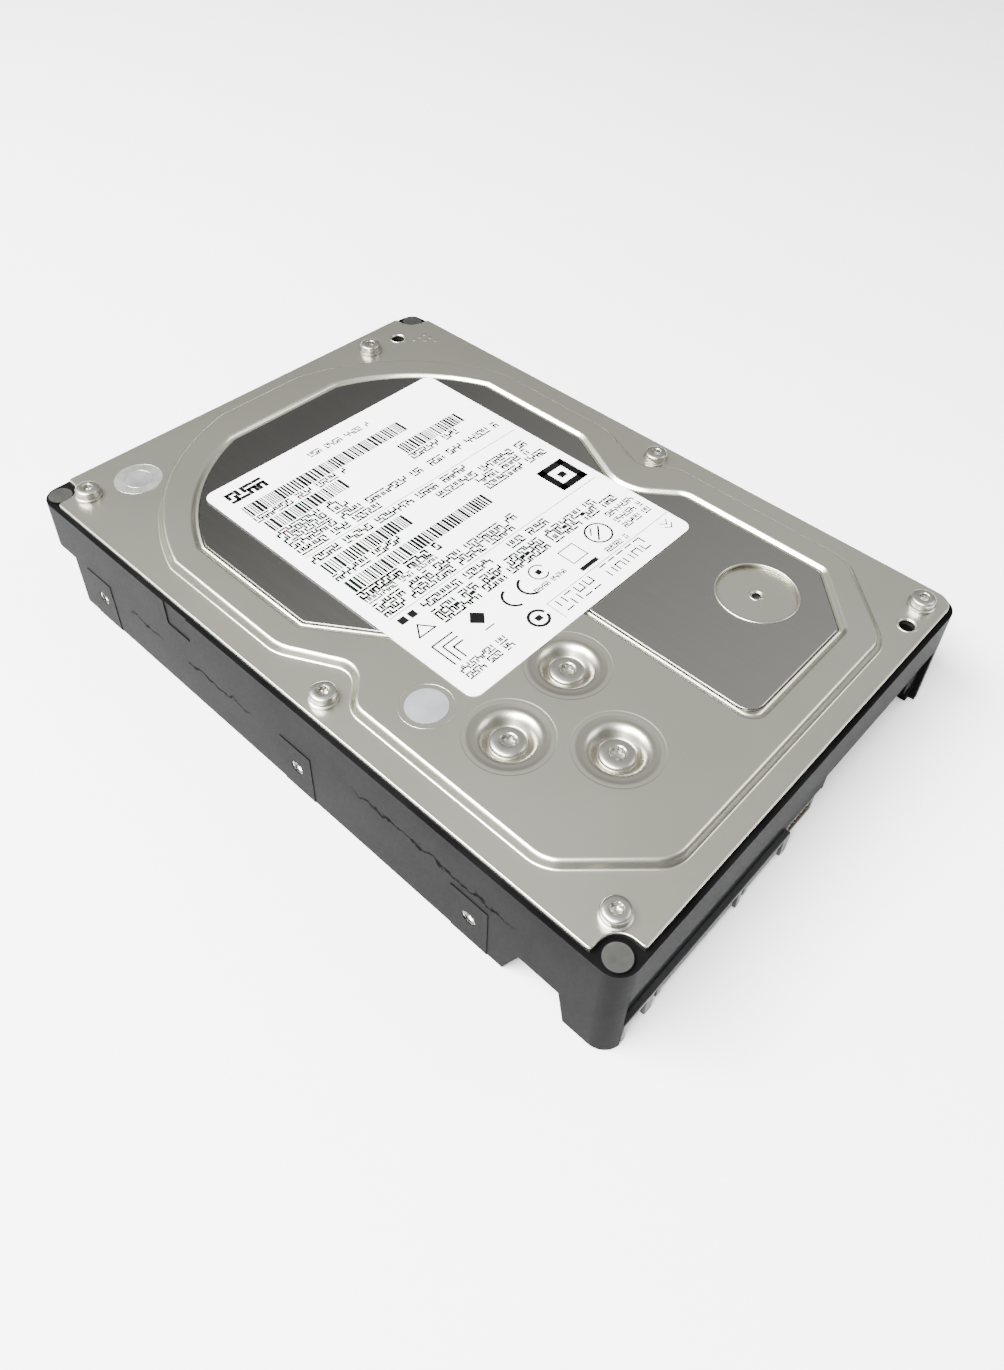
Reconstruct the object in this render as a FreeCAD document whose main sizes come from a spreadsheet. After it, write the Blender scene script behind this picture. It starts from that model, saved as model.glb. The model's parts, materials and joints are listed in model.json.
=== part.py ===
import FreeCAD, Part
import math
import os
import re

import Sketcher
from FreeCAD import Placement, Rotation, Vector

# A 3.5 inch hard disk drive: die-cast base, stamped cover, four disks on a motor hub, a swinging head
# actuator with its voice coil motor, and the electronics board underneath.
# Frame: +Z up with the cover on top, X across the width, Y along the length, connectors at -Y.
# The origin is at the centre of the footprint, on the plane that the drive rests on.

NODES = 60           # most sub-parts that may be written
Z_AXIS = Vector(0, 0, 1)

doc = FreeCAD.newDocument("hard_disk_drive")
sheet = doc.addObject("Spreadsheet::Sheet", "dims")

DIMENSIONS = {
    # outer form
    "width": 101.6, "length": 147.0, "corner_radius": 3.8, "boss_relief": 0.12,
    "rim_top": 22.8, "gasket": 0.8, "sheet": 0.5, "raise": 1.3, "cover_inset": 0.9, "gasket_inset": 0.15,
    "pad_edge": 3.1, "pad_end": 3.2, "pad_radius": 2.4, "pad_proud": 0.4,
    "notch": 5.45, "notch_radius": 3.6,
    # cavity and floor
    "floor_low": 5.2, "floor_top": 6.8, "well_radius": 48.2, "well_side": 45.0, "well_end": 67.8,
    # stamped steps of the cover
    "step_radius": 47.1, "step_side": 45.1, "step_near": 68.3, "step_far": 68.7, "recess_deep": 0.9,
    "recess_radius": 42.3, "recess_centre": 20.5, "recess_side": 39.2, "recess_near": 62.2,
    "recess_far": 60.4, "recess_split": 1.8, "recess_inner": 14.5, "dimple_radius": 4.4,
    "dimple_deep": 2.6, "breather_radius": 7.7, "breather_hole": 1.05,
    # damper plate and label
    "damper": 0.7, "damper_inset": 1.35, "label_width": 61.2, "label_length": 73.6,
    "label_thick": 0.14, "label_corner": 2.0,
    # screws
    "head_radius": 2.3, "head_height": 2.0, "sunk_head_height": 1.5, "shank_radius": 1.2,
    "socket_radius": 1.1, "socket_deep": 1.1,
    # interface holes
    "thread_radius": 1.4, "side_hole_height": 6.35, "side_hole_first": 28.5, "side_hole_second": 70.1,
    "side_hole_third": 130.1, "side_hole_deep": 4.4, "bottom_across": 95.25, "bottom_first": 41.28,
    "bottom_second": 85.73, "bottom_third": 117.48, "bottom_hole_deep": 5.0,
    # spindle
    "spindle_y": 22.7, "disk_radius": 47.5, "disk_bore": 12.5, "disk_thick": 1.27, "disk_pitch": 3.17,
    "disk_low": 9.0, "hub_radius": 12.45, "hub_top": 19.6, "flange_radius": 16.0, "hub_ceiling": 14.5,
    "rotor_inner": 11.4, "magnet_inner": 10.3, "shaft_radius": 2.0, "sleeve_radius": 3.4,
    "running_gap": 0.02, "stator_inner": 4.6, "stator_outer": 9.9, "boss_top": 10.0,
    # actuator
    "pivot_x": -13.3, "pivot_y": -31.8, "park_angle": 20.8, "swing": 34.0, "block_radius": 8.0,
    "arm_thick": 1.0, "arm_reach": 38.0, "head_reach": 52.0, "tab_reach": 55.6, "flexure": 0.15,
    "flexure_offset": 0.25, "slider_high": 0.35, "pivot_shaft": 2.4, "ring_inner": 3.2, "ring_outer": 4.6,
    "cartridge": 5.3, "sleeve_outer": 6.2, "coil_low": 12.9, "coil_high": 16.7, "coil_inner": 17.2,
    "coil_outer": 28.5, "coil_half_angle": 18.0,
    # voice coil motor
    "motor_angle": 217.6, "yoke_inner": 14.5, "yoke_outer": 30.5, "lower_yoke_top": 10.0,
    "magnet_thick": 2.3, "upper_yoke_low": 19.6, "upper_yoke_top": 22.3, "post_reach": 21.0,
    "post_angle": 53.0, "post_radius": 2.0,
    # load ramp
    "ramp_inner": 53.3, "ramp_outer": 57.0, "ramp_start": 17.0, "ramp_end": 27.2, "tooth_half": 1.16,
    "slot_half": 0.9,
    # electronics
    "board_low": 3.3, "board_high": 4.5, "board_side": 44.0, "board_near": 68.5, "board_far": 6.0,
    "bay_side": 44.5, "face_step": 1.1, "band_low": 14.0, "shell_top": 5.6, "shell_low": 0.25,
    "header_low": 0.9,
    "shell_back": 68.6, "tongue_low": 2.4, "tongue_thick": 1.2, "contact_pitch": 1.27,
}

for line, (alias, number) in enumerate(DIMENSIONS.items(), start=1):
    sheet.set(f"A{line}", alias.replace("_", " "))
    sheet.set(f"B{line}", str(number))
    sheet.setAlias(f"B{line}", alias)
doc.recompute()

pieces = []          # the sub-parts, in the order in which they are written


# ---------------------------------------------------------------- helpers

def value(text):
    """The number that an expression over the sheet's aliases gives now."""
    return float(sheet.evalExpression(str(text)))


def formula(text):
    """The same expression as another object has to write it, with each alias read from the sheet."""
    def qualified(word):
        return "dims." + word[0] if word[0] in DIMENSIONS else word[0]

    return re.sub(r"[a-z_]+", qualified, str(text))


def put(item, x="0", y="0", z="0"):
    """Binds an object's place to the sheet and leaves its rotation alone."""
    for axis, text in zip("xyz", (x, y, z)):
        item.setExpression("Placement.Base." + axis, formula(text))
    return item


def box(low, size):
    """A block from its lowest corner and its three sizes."""
    block = doc.addObject("Part::Box", "Block")
    for side, text in zip(("Length", "Width", "Height"), size):
        block.setExpression(side, formula(text))
    return put(block, *low)


def rod(radius, height, base=("0", "0", "0"), along=Z_AXIS):
    """A cylinder that starts at base and runs along a direction."""
    cylinder = doc.addObject("Part::Cylinder", "Rod")
    cylinder.setExpression("Radius", formula(radius))
    cylinder.setExpression("Height", formula(height))
    cylinder.Placement = Placement(Vector(), Rotation(Z_AXIS, along))
    return put(cylinder, *base)


def fuse(*solids):
    joined = doc.addObject("Part::MultiFuse", "Joined")
    joined.Shapes = list(solids)
    return joined


def cut(base, *tools):
    rest = doc.addObject("Part::Cut", "Cut")
    rest.Base = base
    rest.Tool = tools[0] if len(tools) == 1 else fuse(*tools)
    return rest


def common(first, second):
    shared = doc.addObject("Part::Common", "Shared")
    shared.Base = first
    shared.Tool = second
    return shared


def group(solids):
    """Several separate solids in one sub-part."""
    together = doc.addObject("Part::Compound", "Group")
    together.Links = list(solids)
    return together


def bound_sketch(body, role, corners):
    """A closed polygon on one of the body's origin planes, each corner bound to two expressions."""
    sketch = body.newObject("Sketcher::SketchObject", "Outline")
    plane = [item for item in body.Origin.OriginFeatures if item.Role == role][0]
    sketch.AttachmentSupport = (plane, [""])
    sketch.MapMode = "FlatFace"
    points = [Vector(value(x), value(y), 0) for x, y in corners]
    for index, point in enumerate(points):
        sketch.addGeometry(Part.LineSegment(point, points[(index + 1) % len(points)]), False)
    for index, point in enumerate(points):
        sketch.addConstraint(Sketcher.Constraint("Coincident", index, 2, (index + 1) % len(points), 1))
        for kind, place, text in zip(("DistanceX", "DistanceY"), point, corners[index]):
            number = sketch.addConstraint(Sketcher.Constraint(kind, -1, 1, index, 1, place))
            sketch.setExpression(f"Constraints[{number}]", formula(text))
    return sketch


def turned(profile, x="0", y="0", z="0"):
    """A body of revolution about Z from corners given as radius and height."""
    body = doc.addObject("PartDesign::Body", "Turned")
    sketch = bound_sketch(body, "XZ_Plane", profile)
    turn = body.newObject("PartDesign::Revolution", "Turn")
    turn.Profile = sketch
    turn.ReferenceAxis = (sketch, ["V_Axis"])
    turn.Angle = 360
    return put(body, x, y, z)


def ring(outer, inner, low, high, x="0", y="0"):
    """A plain turned ring between two heights."""
    return turned([(inner, low), (outer, low), (outer, high), (inner, high)], x, y)


def prism(corners, low, height, rounds=()):
    """A padded polygon; rounds lists pairs of corner numbers and the radius that rounds them."""
    body = doc.addObject("PartDesign::Body", "Prism")
    sketch = bound_sketch(body, "XY_Plane", corners)
    pad = body.newObject("PartDesign::Pad", "Pad")
    pad.Profile = sketch
    pad.setExpression("Length", formula(height))
    doc.recompute()
    for numbers, radius in rounds:
        spots = [Vector(value(corners[number][0]), value(corners[number][1]), 0) for number in numbers]
        tip = body.Tip
        fillet = body.newObject("PartDesign::Fillet", "Round")
        fillet.Base = (tip, upright_edges(tip.Shape, spots))
        fillet.setExpression("Radius", formula(radius))
        doc.recompute()
    return put(body, z=low)


def upright_edges(shape, spots):
    """Names of the vertical edges that stand over the given points."""
    names = []
    for number, edge in enumerate(shape.Edges, start=1):
        ends = [vertex.Point for vertex in edge.Vertexes]
        upright = len(ends) == 2 and abs(ends[0].x - ends[1].x) + abs(ends[0].y - ends[1].y) < 0.001
        if upright and any(math.hypot(ends[0].x - spot.x, ends[0].y - spot.y) < 0.001 for spot in spots):
            names.append(f"Edge{number}")
    return names


def rectangle(half_x, half_y, middle_x="0", middle_y="0"):
    """Corners of a rectangle, counterclockwise from its lowest corner."""
    signs = ((-1, -1), (1, -1), (1, 1), (-1, 1))
    return [(f"{middle_x}+{sx}*({half_x})", f"{middle_y}+{sy}*({half_y})") for sx, sy in signs]


def sector(inner, outer, first, last, low, high):
    """A piece of a ring about the local Z axis between two angles in degrees."""
    wide = ring(outer, inner, low, high)
    far = f"2*({outer})"
    rays = [("0", "0")]
    steps = max(2, math.ceil((value(last) - value(first)) / 60))
    for step in range(steps + 1):
        angle = f"({first})+(({last})-({first}))*{step}/{steps}"
        rays.append((f"{far}*cos({angle})", f"{far}*sin({angle})"))
    wedge = prism(rays, low, f"({high})-({low})")
    return common(wide, wedge)


def piece(name, solid):
    """Names a finished sub-part."""
    solid.Label = name
    pieces.append(solid)
    return solid


def pan_screw(x, y, seat, length, scale="1", rise="head_height"):
    """A turned pan-head screw with a round drive socket, seated at a height and running down."""
    head = f"head_radius*{scale}"
    shank = f"shank_radius*{scale}"
    socket = f"socket_radius*{scale}"
    crown = f"{rise}-0.5*{scale}"
    profile = [("0", f"-({length})"), (shank, f"-({length})"), (shank, "0"), (head, "0"), (head, crown),
               (f"{head}-0.5*{scale}", rise), (socket, rise), (socket, f"{rise}-socket_deep*{scale}"),
               ("0", f"{rise}-socket_deep*{scale}")]
    return turned(profile, x, y, seat)


# ---------------------------------------------------------------- places that several pieces share

FLANGE_TOP = "(rim_top+gasket+sheet)"
STEP_TOP = f"({FLANGE_TOP}+raise)"
RECESS_TOP = f"({STEP_TOP}-recess_deep)"
DIMPLE_TOP = f"({STEP_TOP}-dimple_deep)"

COVER_SCREWS = (("-44.2", "65.4"), ("30.6", "66.4"), ("-46", "-7.1"), ("44.8", "-6.7"), ("-43.5", "-66.4"),
                ("44.6", "-68.3"))
COVER_HOLES = (("38.8", "65.8"), ("37.8", "-69"))
PADS = ((-1, -1), (-1, 1), (1, 1))
DIMPLES = (("pivot_x", "pivot_y"), ("-31.4", "-34.9"), ("-21.2", "-49.1"))
BREATHER = ("24.6", "-45.2")
LARGE = "1.35"       # the screws in the dimples against those round the edge
SMALL = "0.62"       # the screws inside against those round the edge
BOARD_SCREWS = (("-40", "-64.5"), ("40", "-63.5"), ("-40.5", "0"), ("40.5", "0"), ("0", "-20"))


def chamber(radius, side, near, low, height):
    """The outline that the casting's cavity and the cover's raised step share, as a solid: a round well
    for the disks, and a room for the actuator with its near corners cut off and with waists that pass
    inside the two middle cover screws."""
    height = f"({height})"
    well = rod(radius, height, ("0", "spindle_y", low))
    corners = [("-38.2", "-6.6"), (f"-({side})", "-13.2"), (f"-({side})", f"-({near})+14.2"),
               (f"-({side})+13.6", f"-({near})"), (f"({side})-14.6", f"-({near})"),
               (side, f"-({near})+15.6"), (side, "-14"), ("38.4", "-7"), ("30", "6"), ("-30", "6")]
    room = prism(corners, low, height, [((2, 3, 4, 5), "4")])
    return fuse(well, room)


# ---------------------------------------------------------------- base casting

def corner_cut(sign):
    """The lower far corner is cut away, with a slanted flank."""
    corners = [("width/2-7.5", "length/2+1"), ("width/2-7.5", "length/2-8.6"), ("width/2+1", "length/2-8.6"),
               ("width/2+1", "length/2+1")]
    corners = [(f"{sign}*({x})", y) for x, y in corners]
    return prism(corners, "-1", "13", [((1,), "2.5")])


def side_notch(sign):
    """A notch with slanted flanks in the lower edge of a side wall, near the connector end."""
    body = doc.addObject("PartDesign::Body", "Notch")
    profile = [("-52", "-1"), ("-52.2", "0"), ("-55.4", "7.4"), ("-63.4", "7.2"), ("-64.8", "0"),
               ("-65", "-1")]
    sketch = bound_sketch(body, "YZ_Plane", profile)
    pad = body.newObject("PartDesign::Pad", "Pad")
    pad.Profile = sketch
    pad.Length = 8
    return put(body, "width/2-6.5" if sign > 0 else "-width/2-1.5")


def base_casting():
    body = prism(rectangle("width/2-boss_relief", "length/2"), "0", "rim_top",
                 [((0, 1, 2, 3), "corner_radius")])
    solids = [body]
    for sign in (-1, 1):
        for place in ("side_hole_first", "side_hole_second", "side_hole_third"):
            solids.append(box((f"{sign}*(width/2-1.5)-1.5", f"-length/2+{place}-4", "0"),
                              ("3", "8", "12")))
    for sx, sy in PADS:
        place = (f"{sx}*(width/2-pad_edge)", f"{sy}*(length/2-pad_end)", "rim_top-2")
        solids.append(rod("pad_radius", "2+pad_proud", place))
    solids.append(rod("14", "floor_low-3.0", ("0", "spindle_y", "3.0")))
    outside = fuse(*solids)

    tools = [chamber("well_radius", "well_side", "well_end", "floor_top", "rim_top-floor_top+1")]
    # open bay for the board, and the stepped face at the connector end
    tools.append(box(("-bay_side", "-length/2-1", "-1"),
                     ("2*bay_side", "length/2+1+board_far+1", "floor_low+1")))
    tools.append(box(("-47.6", "-length/2-1", "-1"), ("58.1", "6.1", "shell_top+0.2+1")))
    tools.append(box(("-47.6", "-length/2-1", "-1"), ("93.6", "face_step+1", "band_low+1")))
    tools.append(box(("11", "-length/2-1", "-1"), ("30", "6.1", "8.3+1")))
    for sign in (-1, 1):
        tools.append(corner_cut(sign))
        tools.append(side_notch(sign))
        tools.append(box((f"{sign}*(width/2+0.2)-0.5", "25", "17"), ("1", "6.8", "10")))
        for place in ("side_hole_first", "side_hole_second", "side_hole_third"):
            start = f"{sign}*(width/2-side_hole_deep)"
            tools.append(rod("thread_radius", "side_hole_deep+1",
                             (start, f"-length/2+{place}", "side_hole_height"), Vector(sign, 0, 0)))
        for place in ("bottom_first", "bottom_second", "bottom_third"):
            tools.append(rod("thread_radius", "bottom_hole_deep+1",
                             (f"{sign}*bottom_across/2", f"-length/2+{place}", "-1")))
    # shallow bay under the far half, round the motor
    rear = prism([("-42", "9"), ("42", "9"), ("42", "40"), ("26", "66"), ("-26", "66"), ("-42", "40")],
                 "-1", "1+3.2", [((0, 1, 2, 3, 4, 5), "5")])
    tools.append(cut(rear, rod("17.5", "6", ("0", "spindle_y", "-2"))))
    tools.append(rod("16.2", "1+3.0", ("0", "spindle_y", "-1")))
    casting = cut(outside, *tools)

    # motor boss, and the holes that need the floor
    boss = rod("stator_inner-0.1", "boss_top-floor_low", ("0", "spindle_y", "floor_low"))
    casting = fuse(casting, boss)
    holes = [rod("sleeve_radius+0.02", "boss_top", ("0", "spindle_y", "2"))]
    holes.append(rod("pivot_shaft+0.02", "1.6", ("pivot_x", "pivot_y", "floor_top-1.2")))
    for x, y in COVER_SCREWS:
        holes.append(rod("shank_radius+0.05", "8", (x, y, "rim_top-7")))
    for x, y in COVER_HOLES:
        holes.append(rod("1.5", "6", (x, y, "rim_top-5")))
    for x, y in BOARD_SCREWS:
        holes.append(rod("0.8", "floor_top-floor_low-0.4+1", (x, y, "floor_low-1")))
    holes.append(rod("breather_hole", "4", ("30", "-58", "floor_low-1")))
    return piece("base_casting", cut(casting, *holes))


# ---------------------------------------------------------------- cover and what is on it

def cover_sheet(inset, low, height):
    """The cover's flat outline: a rectangle with one rounded corner and three notched ones."""
    inset = f"({inset})"
    blank = prism(rectangle(f"width/2-{inset}", f"length/2-{inset}"), low, height, [((1,), "3.4")])
    notches = []
    for sx, sy in PADS:
        corners = [(f"{sx}*(width/2-notch-{inset})", f"{sy}*(length/2-notch-{inset})"),
                   (f"{sx}*(width/2+1)", f"{sy}*(length/2-notch-{inset})"),
                   (f"{sx}*(width/2+1)", f"{sy}*(length/2+1)"),
                   (f"{sx}*(width/2-notch-{inset})", f"{sy}*(length/2+1)")]
        notches.append(prism(corners, f"({low})-1", f"({height})+2", [((0,), "notch_radius")]))
    return cut(blank, *notches)


def cover_gasket():
    blank = cover_sheet("cover_inset+gasket_inset", "rim_top", "gasket")
    holes = [chamber("well_radius+0.3", "well_side+0.6", "well_end+0.6", "rim_top-1", "3")]
    for x, y in COVER_SCREWS + COVER_HOLES:
        holes.append(rod("1.6", "4", (x, y, "rim_top-1")))
    return piece("cover_gasket", cut(blank, *holes))


def raised_step(inset, low, height):
    """The raised part of the cover, as a solid: the chamber's outline cut straight at both sides and at
    the far end."""
    block = chamber(f"step_radius-({inset})", f"step_side-({inset})", f"step_near-({inset})", low, height)
    reach = f"step_far-({inset})+80"
    limits = box((f"-step_side+({inset})", "-80", low), (f"2*(step_side-({inset}))", reach, height))
    return common(block, limits)


def recess(inset, low, height):
    """The sunk field that the damper plate lies in: round at the far end over the disks, cut straight
    at both sides, and beside the dimples a room that passes round the middle cover screw. The inset
    moves its whole edge inwards, or outwards where it is negative."""
    height = f"({height})"
    side = f"(recess_side-({inset}))"
    near = f"(-recess_near+({inset}))"
    inner = f"(-recess_inner+({inset}))"
    split = f"(-recess_split+({inset}))"
    radius = f"recess_radius-({inset})"
    field = rod(radius, height, ("0", "recess_centre", low))
    limits = box((f"-{side}", "recess_centre", low),
                 (f"2*{side}", f"recess_far-recess_centre-({inset})", height))
    corners = [(split, near), (f"27.6-0.4*({inset})", near), (side, f"-51+0.4*({inset})"),
               (side, f"-18.5-0.4*({inset})"), (f"30.9-1.2*({inset})", "-8.3"),
               (side, f"8.4+0.2*({inset})"), (side, "recess_centre+5"), (f"-{side}", "recess_centre+5"),
               (f"-{side}", f"7.6+0.3*({inset})"), (f"-24+0.5*({inset})", inner), (split, inner)]
    rounds = [((0,), "3.4"), ((1, 2, 3, 5), "2"), ((4,), f"9+({inset})"), ((8, 9, 10), "2")]
    return fuse(common(field, limits), prism(corners, low, height, rounds))


def top_cover():
    """One drawn sheet: flat round its edge, raised over the chamber, sunk under the damper plate, and
    dished down to the yoke and the pivot at three screws."""
    slight = "0.001"      # keeps the faces of solids that are joined from lying in one plane
    flange = cover_sheet("cover_inset", "rim_top+gasket", "sheet")
    step = raised_step("0", "rim_top+gasket", "raise+sheet")
    pan = recess("-sheet", f"{RECESS_TOP}-sheet", f"recess_deep+{slight}")
    cups = [rod("dimple_radius+sheet", "dimple_deep", (x, y, f"{DIMPLE_TOP}-sheet")) for x, y in DIMPLES]
    hollow = cut(raised_step("sheet", "rim_top+gasket-1", "raise+1"), pan, *cups)
    shell = cut(fuse(flange, step, pan, *cups), hollow, recess("0", RECESS_TOP, "recess_deep+1"))
    holes = [rod("breather_hole", "4", (*BREATHER, f"{RECESS_TOP}-3"))]
    for x, y in DIMPLES:
        holes.append(rod("dimple_radius", "dimple_deep+1", (x, y, DIMPLE_TOP)))
        holes.append(rod(f"shank_radius*{LARGE}+0.1", "8", (x, y, f"{DIMPLE_TOP}-4")))
    for x, y in COVER_SCREWS:
        holes.append(rod("shank_radius+0.2", "4", (x, y, "rim_top-1")))
    for x, y in COVER_HOLES:
        holes.append(rod("1.65", "4", (x, y, "rim_top-1")))
    return piece("top_cover", cut(shell, *holes))


def damper_plate():
    plate = recess("damper_inset", RECESS_TOP, "damper")
    return piece("damper_plate", cut(plate, rod("breather_radius", "4", (*BREATHER, f"{RECESS_TOP}-1"))))


def main_label():
    corners = rectangle("label_width/2", "label_length/2", "0.6", "10.9")
    return piece("main_label", prism(corners, STEP_TOP, "label_thick", [((0, 1, 2, 3), "label_corner")]))


def seal_stickers():
    """Two round seals over assembly holes, on the flange and on the raised part."""
    small = rod("3.7", "0.12", ("-36.2", "-21.2", STEP_TOP))
    large = rod("4.7", "0.12", ("-34.6", "63", FLANGE_TOP))
    return piece("seal_stickers", group([small, large]))


def cover_fasteners():
    around = [pan_screw(x, y, FLANGE_TOP, "6.5") for x, y in COVER_SCREWS]
    piece("cover_screws", group(around))
    sunk = [pan_screw(x, y, DIMPLE_TOP, length, LARGE, "sunk_head_height")
            for (x, y), length in zip(DIMPLES, ("5", "2.8", "2.8"))]
    piece("pivot_screw", sunk[0])
    piece("yoke_screws", group(sunk[1:]))


def filters():
    """The breather's carbon filter under its hole, and the filter that the disks' wind blows through."""
    low = "14"
    housing = turned([("0", low), ("6.2", low), ("6.2", f"{RECESS_TOP}-sheet-0.05"),
                      ("1.5", f"{RECESS_TOP}-sheet-0.05"), ("1.5", f"{RECESS_TOP}-sheet-1.5"),
                      ("0", f"{RECESS_TOP}-sheet-1.5")], *BREATHER)
    piece("breather_filter", housing)
    pillow = [("36.5", "-33"), ("43", "-27"), ("41.9", "-25.8"), ("35.4", "-31.8")]
    piece("recirculation_filter", prism(pillow, "floor_top", "12"))
    pack = prism(rectangle("8", "3.4", "26", "-61"), "floor_top", "7", [((0, 1, 2, 3), "1.5")])
    piece("desiccant_pack", pack)


# ---------------------------------------------------------------- spindle motor and disks

def motor_stator():
    """The fixed half of the motor: bearing sleeve, thrust cap, slotted core and its nine coils."""
    sleeve = ring("sleeve_radius", "shaft_radius+running_gap", "5.6", "14", y="spindle_y")
    piece("bearing_sleeve", sleeve)
    piece("thrust_cap", rod("sleeve_radius", "0.9", ("0", "spindle_y", "4.6")))
    teeth = []
    coils = []
    slots = 9
    for number in range(slots):
        turn = Placement(Vector(), Rotation(Z_AXIS, number * 360 / slots))
        tip = common(ring("stator_outer", "stator_outer-0.9", "0", "2.6"),
                     box(("5", "-2.3", "0"), ("6", "4.6", "2.6")))
        arm = common(box(("5", "-0.65", "0"), ("4.4", "1.3", "2.6")), ring("9.4", "5", "0", "2.6"))
        outer = box(("6.3", "-1.35", "-0.9"), ("2.4", "2.7", "4.4"))
        inner = box(("6.2", "-0.7", "-0.05"), ("2.6", "1.4", "2.7"))
        winding = cut(outer, inner)
        for solid, store in ((fuse(tip, arm), teeth), (winding, coils)):
            solid.Placement = turn
            put(solid, "0", "spindle_y", "9.6")
            store.append(solid)
    core = fuse(ring("6", "stator_inner", "9.6", "12.2", y="spindle_y"), *teeth)
    piece("stator_core", core)
    piece("stator_coils", group(coils))


def motor_flex():
    """The motor's flat lead on the underside, from the motor to the edge of the board."""
    patch = ring("9", "3.9", "2.7", "3.0", y="spindle_y")
    tail = prism([("-3", "4.5"), ("3", "4.5"), ("3", "spindle_y-5"), ("-3", "spindle_y-5")], "2.7", "0.3")
    return piece("motor_flex", fuse(patch, tail))


def rotor():
    """Everything that turns with the disks."""
    hub = turned([("shaft_radius", "hub_ceiling"), ("rotor_inner", "hub_ceiling"), ("rotor_inner", "8.2"),
                  ("flange_radius", "8.2"), ("flange_radius", "disk_low"), ("hub_radius", "disk_low"),
                  ("hub_radius", "hub_top"), ("shaft_radius", "hub_top")], y="spindle_y")
    threads = [rod("0.8", "3.4", (f"8.5*cos({angle})", f"spindle_y+8.5*sin({angle})", "hub_top-3.2"))
               for angle in range(0, 360, 60)]
    piece("spindle_hub", cut(hub, *threads))
    piece("spindle_shaft", rod("shaft_radius-0.001", "hub_top-5.7", ("0", "spindle_y", "5.7")))
    piece("rotor_magnet", ring("rotor_inner", "magnet_inner", "8.6", "hub_ceiling-0.6", y="spindle_y"))
    for number in range(4):
        low = f"disk_low+{number}*disk_pitch"
        piece(f"platter_{number + 1}", ring("disk_radius", "disk_bore", low, f"{low}+disk_thick",
                                            y="spindle_y"))
    spacers = [ring("flange_radius", "disk_bore", f"disk_low+{number}*disk_pitch+disk_thick",
                    f"disk_low+{number + 1}*disk_pitch", y="spindle_y") for number in range(3)]
    piece("platter_spacers", group(spacers))
    top = "disk_low+3*disk_pitch+disk_thick"
    clamp = turned([("3", top), ("15.6", top), ("15.6", f"{top}+0.7"), ("14", f"{top}+1.2"),
                    ("11.5", f"{top}+0.8"), ("3", f"{top}+0.8")], y="spindle_y")
    places = [(f"8.5*cos({angle})", f"spindle_y+8.5*sin({angle})") for angle in range(0, 360, 60)]
    piece("disk_clamp", cut(clamp, *[rod("0.9", "4", (x, y, f"{top}-1")) for x, y in places]))
    piece("clamp_screws", group([pan_screw(x, y, f"{top}+0.8", "3", SMALL, "1.3") for x, y in places]))


# ---------------------------------------------------------------- head actuator

def on_actuator(solid):
    """Sets a solid drawn about the pivot, with its arms along +X, to the parked angle."""
    solid.Placement = Placement(Vector(), Rotation(Z_AXIS, value("park_angle")))
    return put(solid, "pivot_x", "pivot_y")


def arm_level(number):
    """Middle height of an arm: one below the lowest disk and one above each disk."""
    return f"(disk_low+disk_thick/2+disk_pitch*({number}-0.5))"


def actuator_block():
    body = rod("block_radius", "13.9", ("0", "0", "7.4"))
    arms = []
    for number in range(5):
        corners = [("2", "-7.2"), ("22", "-4.6"), ("arm_reach-4.5", "-2.7"), ("arm_reach-4.5", "2.7"),
                   ("22", "4.6"), ("2", "7.2")]
        arm = prism(corners, f"{arm_level(number)}-arm_thick/2", "arm_thick", [((2, 3), "1.2")])
        tip = prism([("arm_reach-7", "-2.1"), ("arm_reach", "-2.1"), ("arm_reach", "2.1"),
                     ("arm_reach-7", "2.1")], f"{arm_level(number)}-flexure_offset", "2*flexure_offset")
        slot = prism([("12", "-2"), ("28", "-1"), ("28", "1"), ("12", "2")],
                     f"{arm_level(number)}-arm_thick", "2*arm_thick", [((0, 1, 2, 3), "0.9")])
        arms.append(cut(fuse(arm, tip), slot))
    seat = fuse(box(("1.5", "-9.1", "9"), ("8.5", "0.5", "11")),
                box(("1.5", "-8.65", "9"), ("3", "1.5", "11")))
    block = cut(fuse(body, seat, *arms), rod("sleeve_outer", "20", ("0", "0", "5")))
    return piece("actuator_block", on_actuator(block))


def pivot_bearings():
    """The pivot cartridge: fixed shaft and inner rings, two rows of balls, outer rings in a sleeve."""
    heights = ("8.6", "17.8")
    shaft = rod("pivot_shaft", "upper_yoke_top-floor_top+1", ("pivot_x", "pivot_y", "floor_top-1"))
    piece("pivot_shaft", cut(shaft, rod("1.65", "8", ("pivot_x", "pivot_y", "upper_yoke_top-6"))))
    inner = [ring("ring_inner", "pivot_shaft+0.01", low, f"{low}+2.4", "pivot_x", "pivot_y")
             for low in heights]
    piece("pivot_inner_rings", group(inner))
    outer = [ring("cartridge", "ring_outer", low, f"{low}+2.4") for low in heights]
    sleeve = ring("sleeve_outer-0.01", "cartridge", "7.8", "21")
    piece("pivot_cartridge", on_actuator(fuse(sleeve, *outer)))
    balls = []
    count = 11
    for low in heights:
        for number in range(count):
            ball = doc.addObject("Part::Sphere", "Ball")
            ball.setExpression("Radius", formula("(ring_outer-ring_inner)/2-0.05"))
            angle = number * 360 / count
            balls.append(put(ball, f"3.9*cos({angle})", f"3.9*sin({angle})", f"{low}+1.2"))
    piece("pivot_balls", on_actuator(group(balls)))


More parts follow.
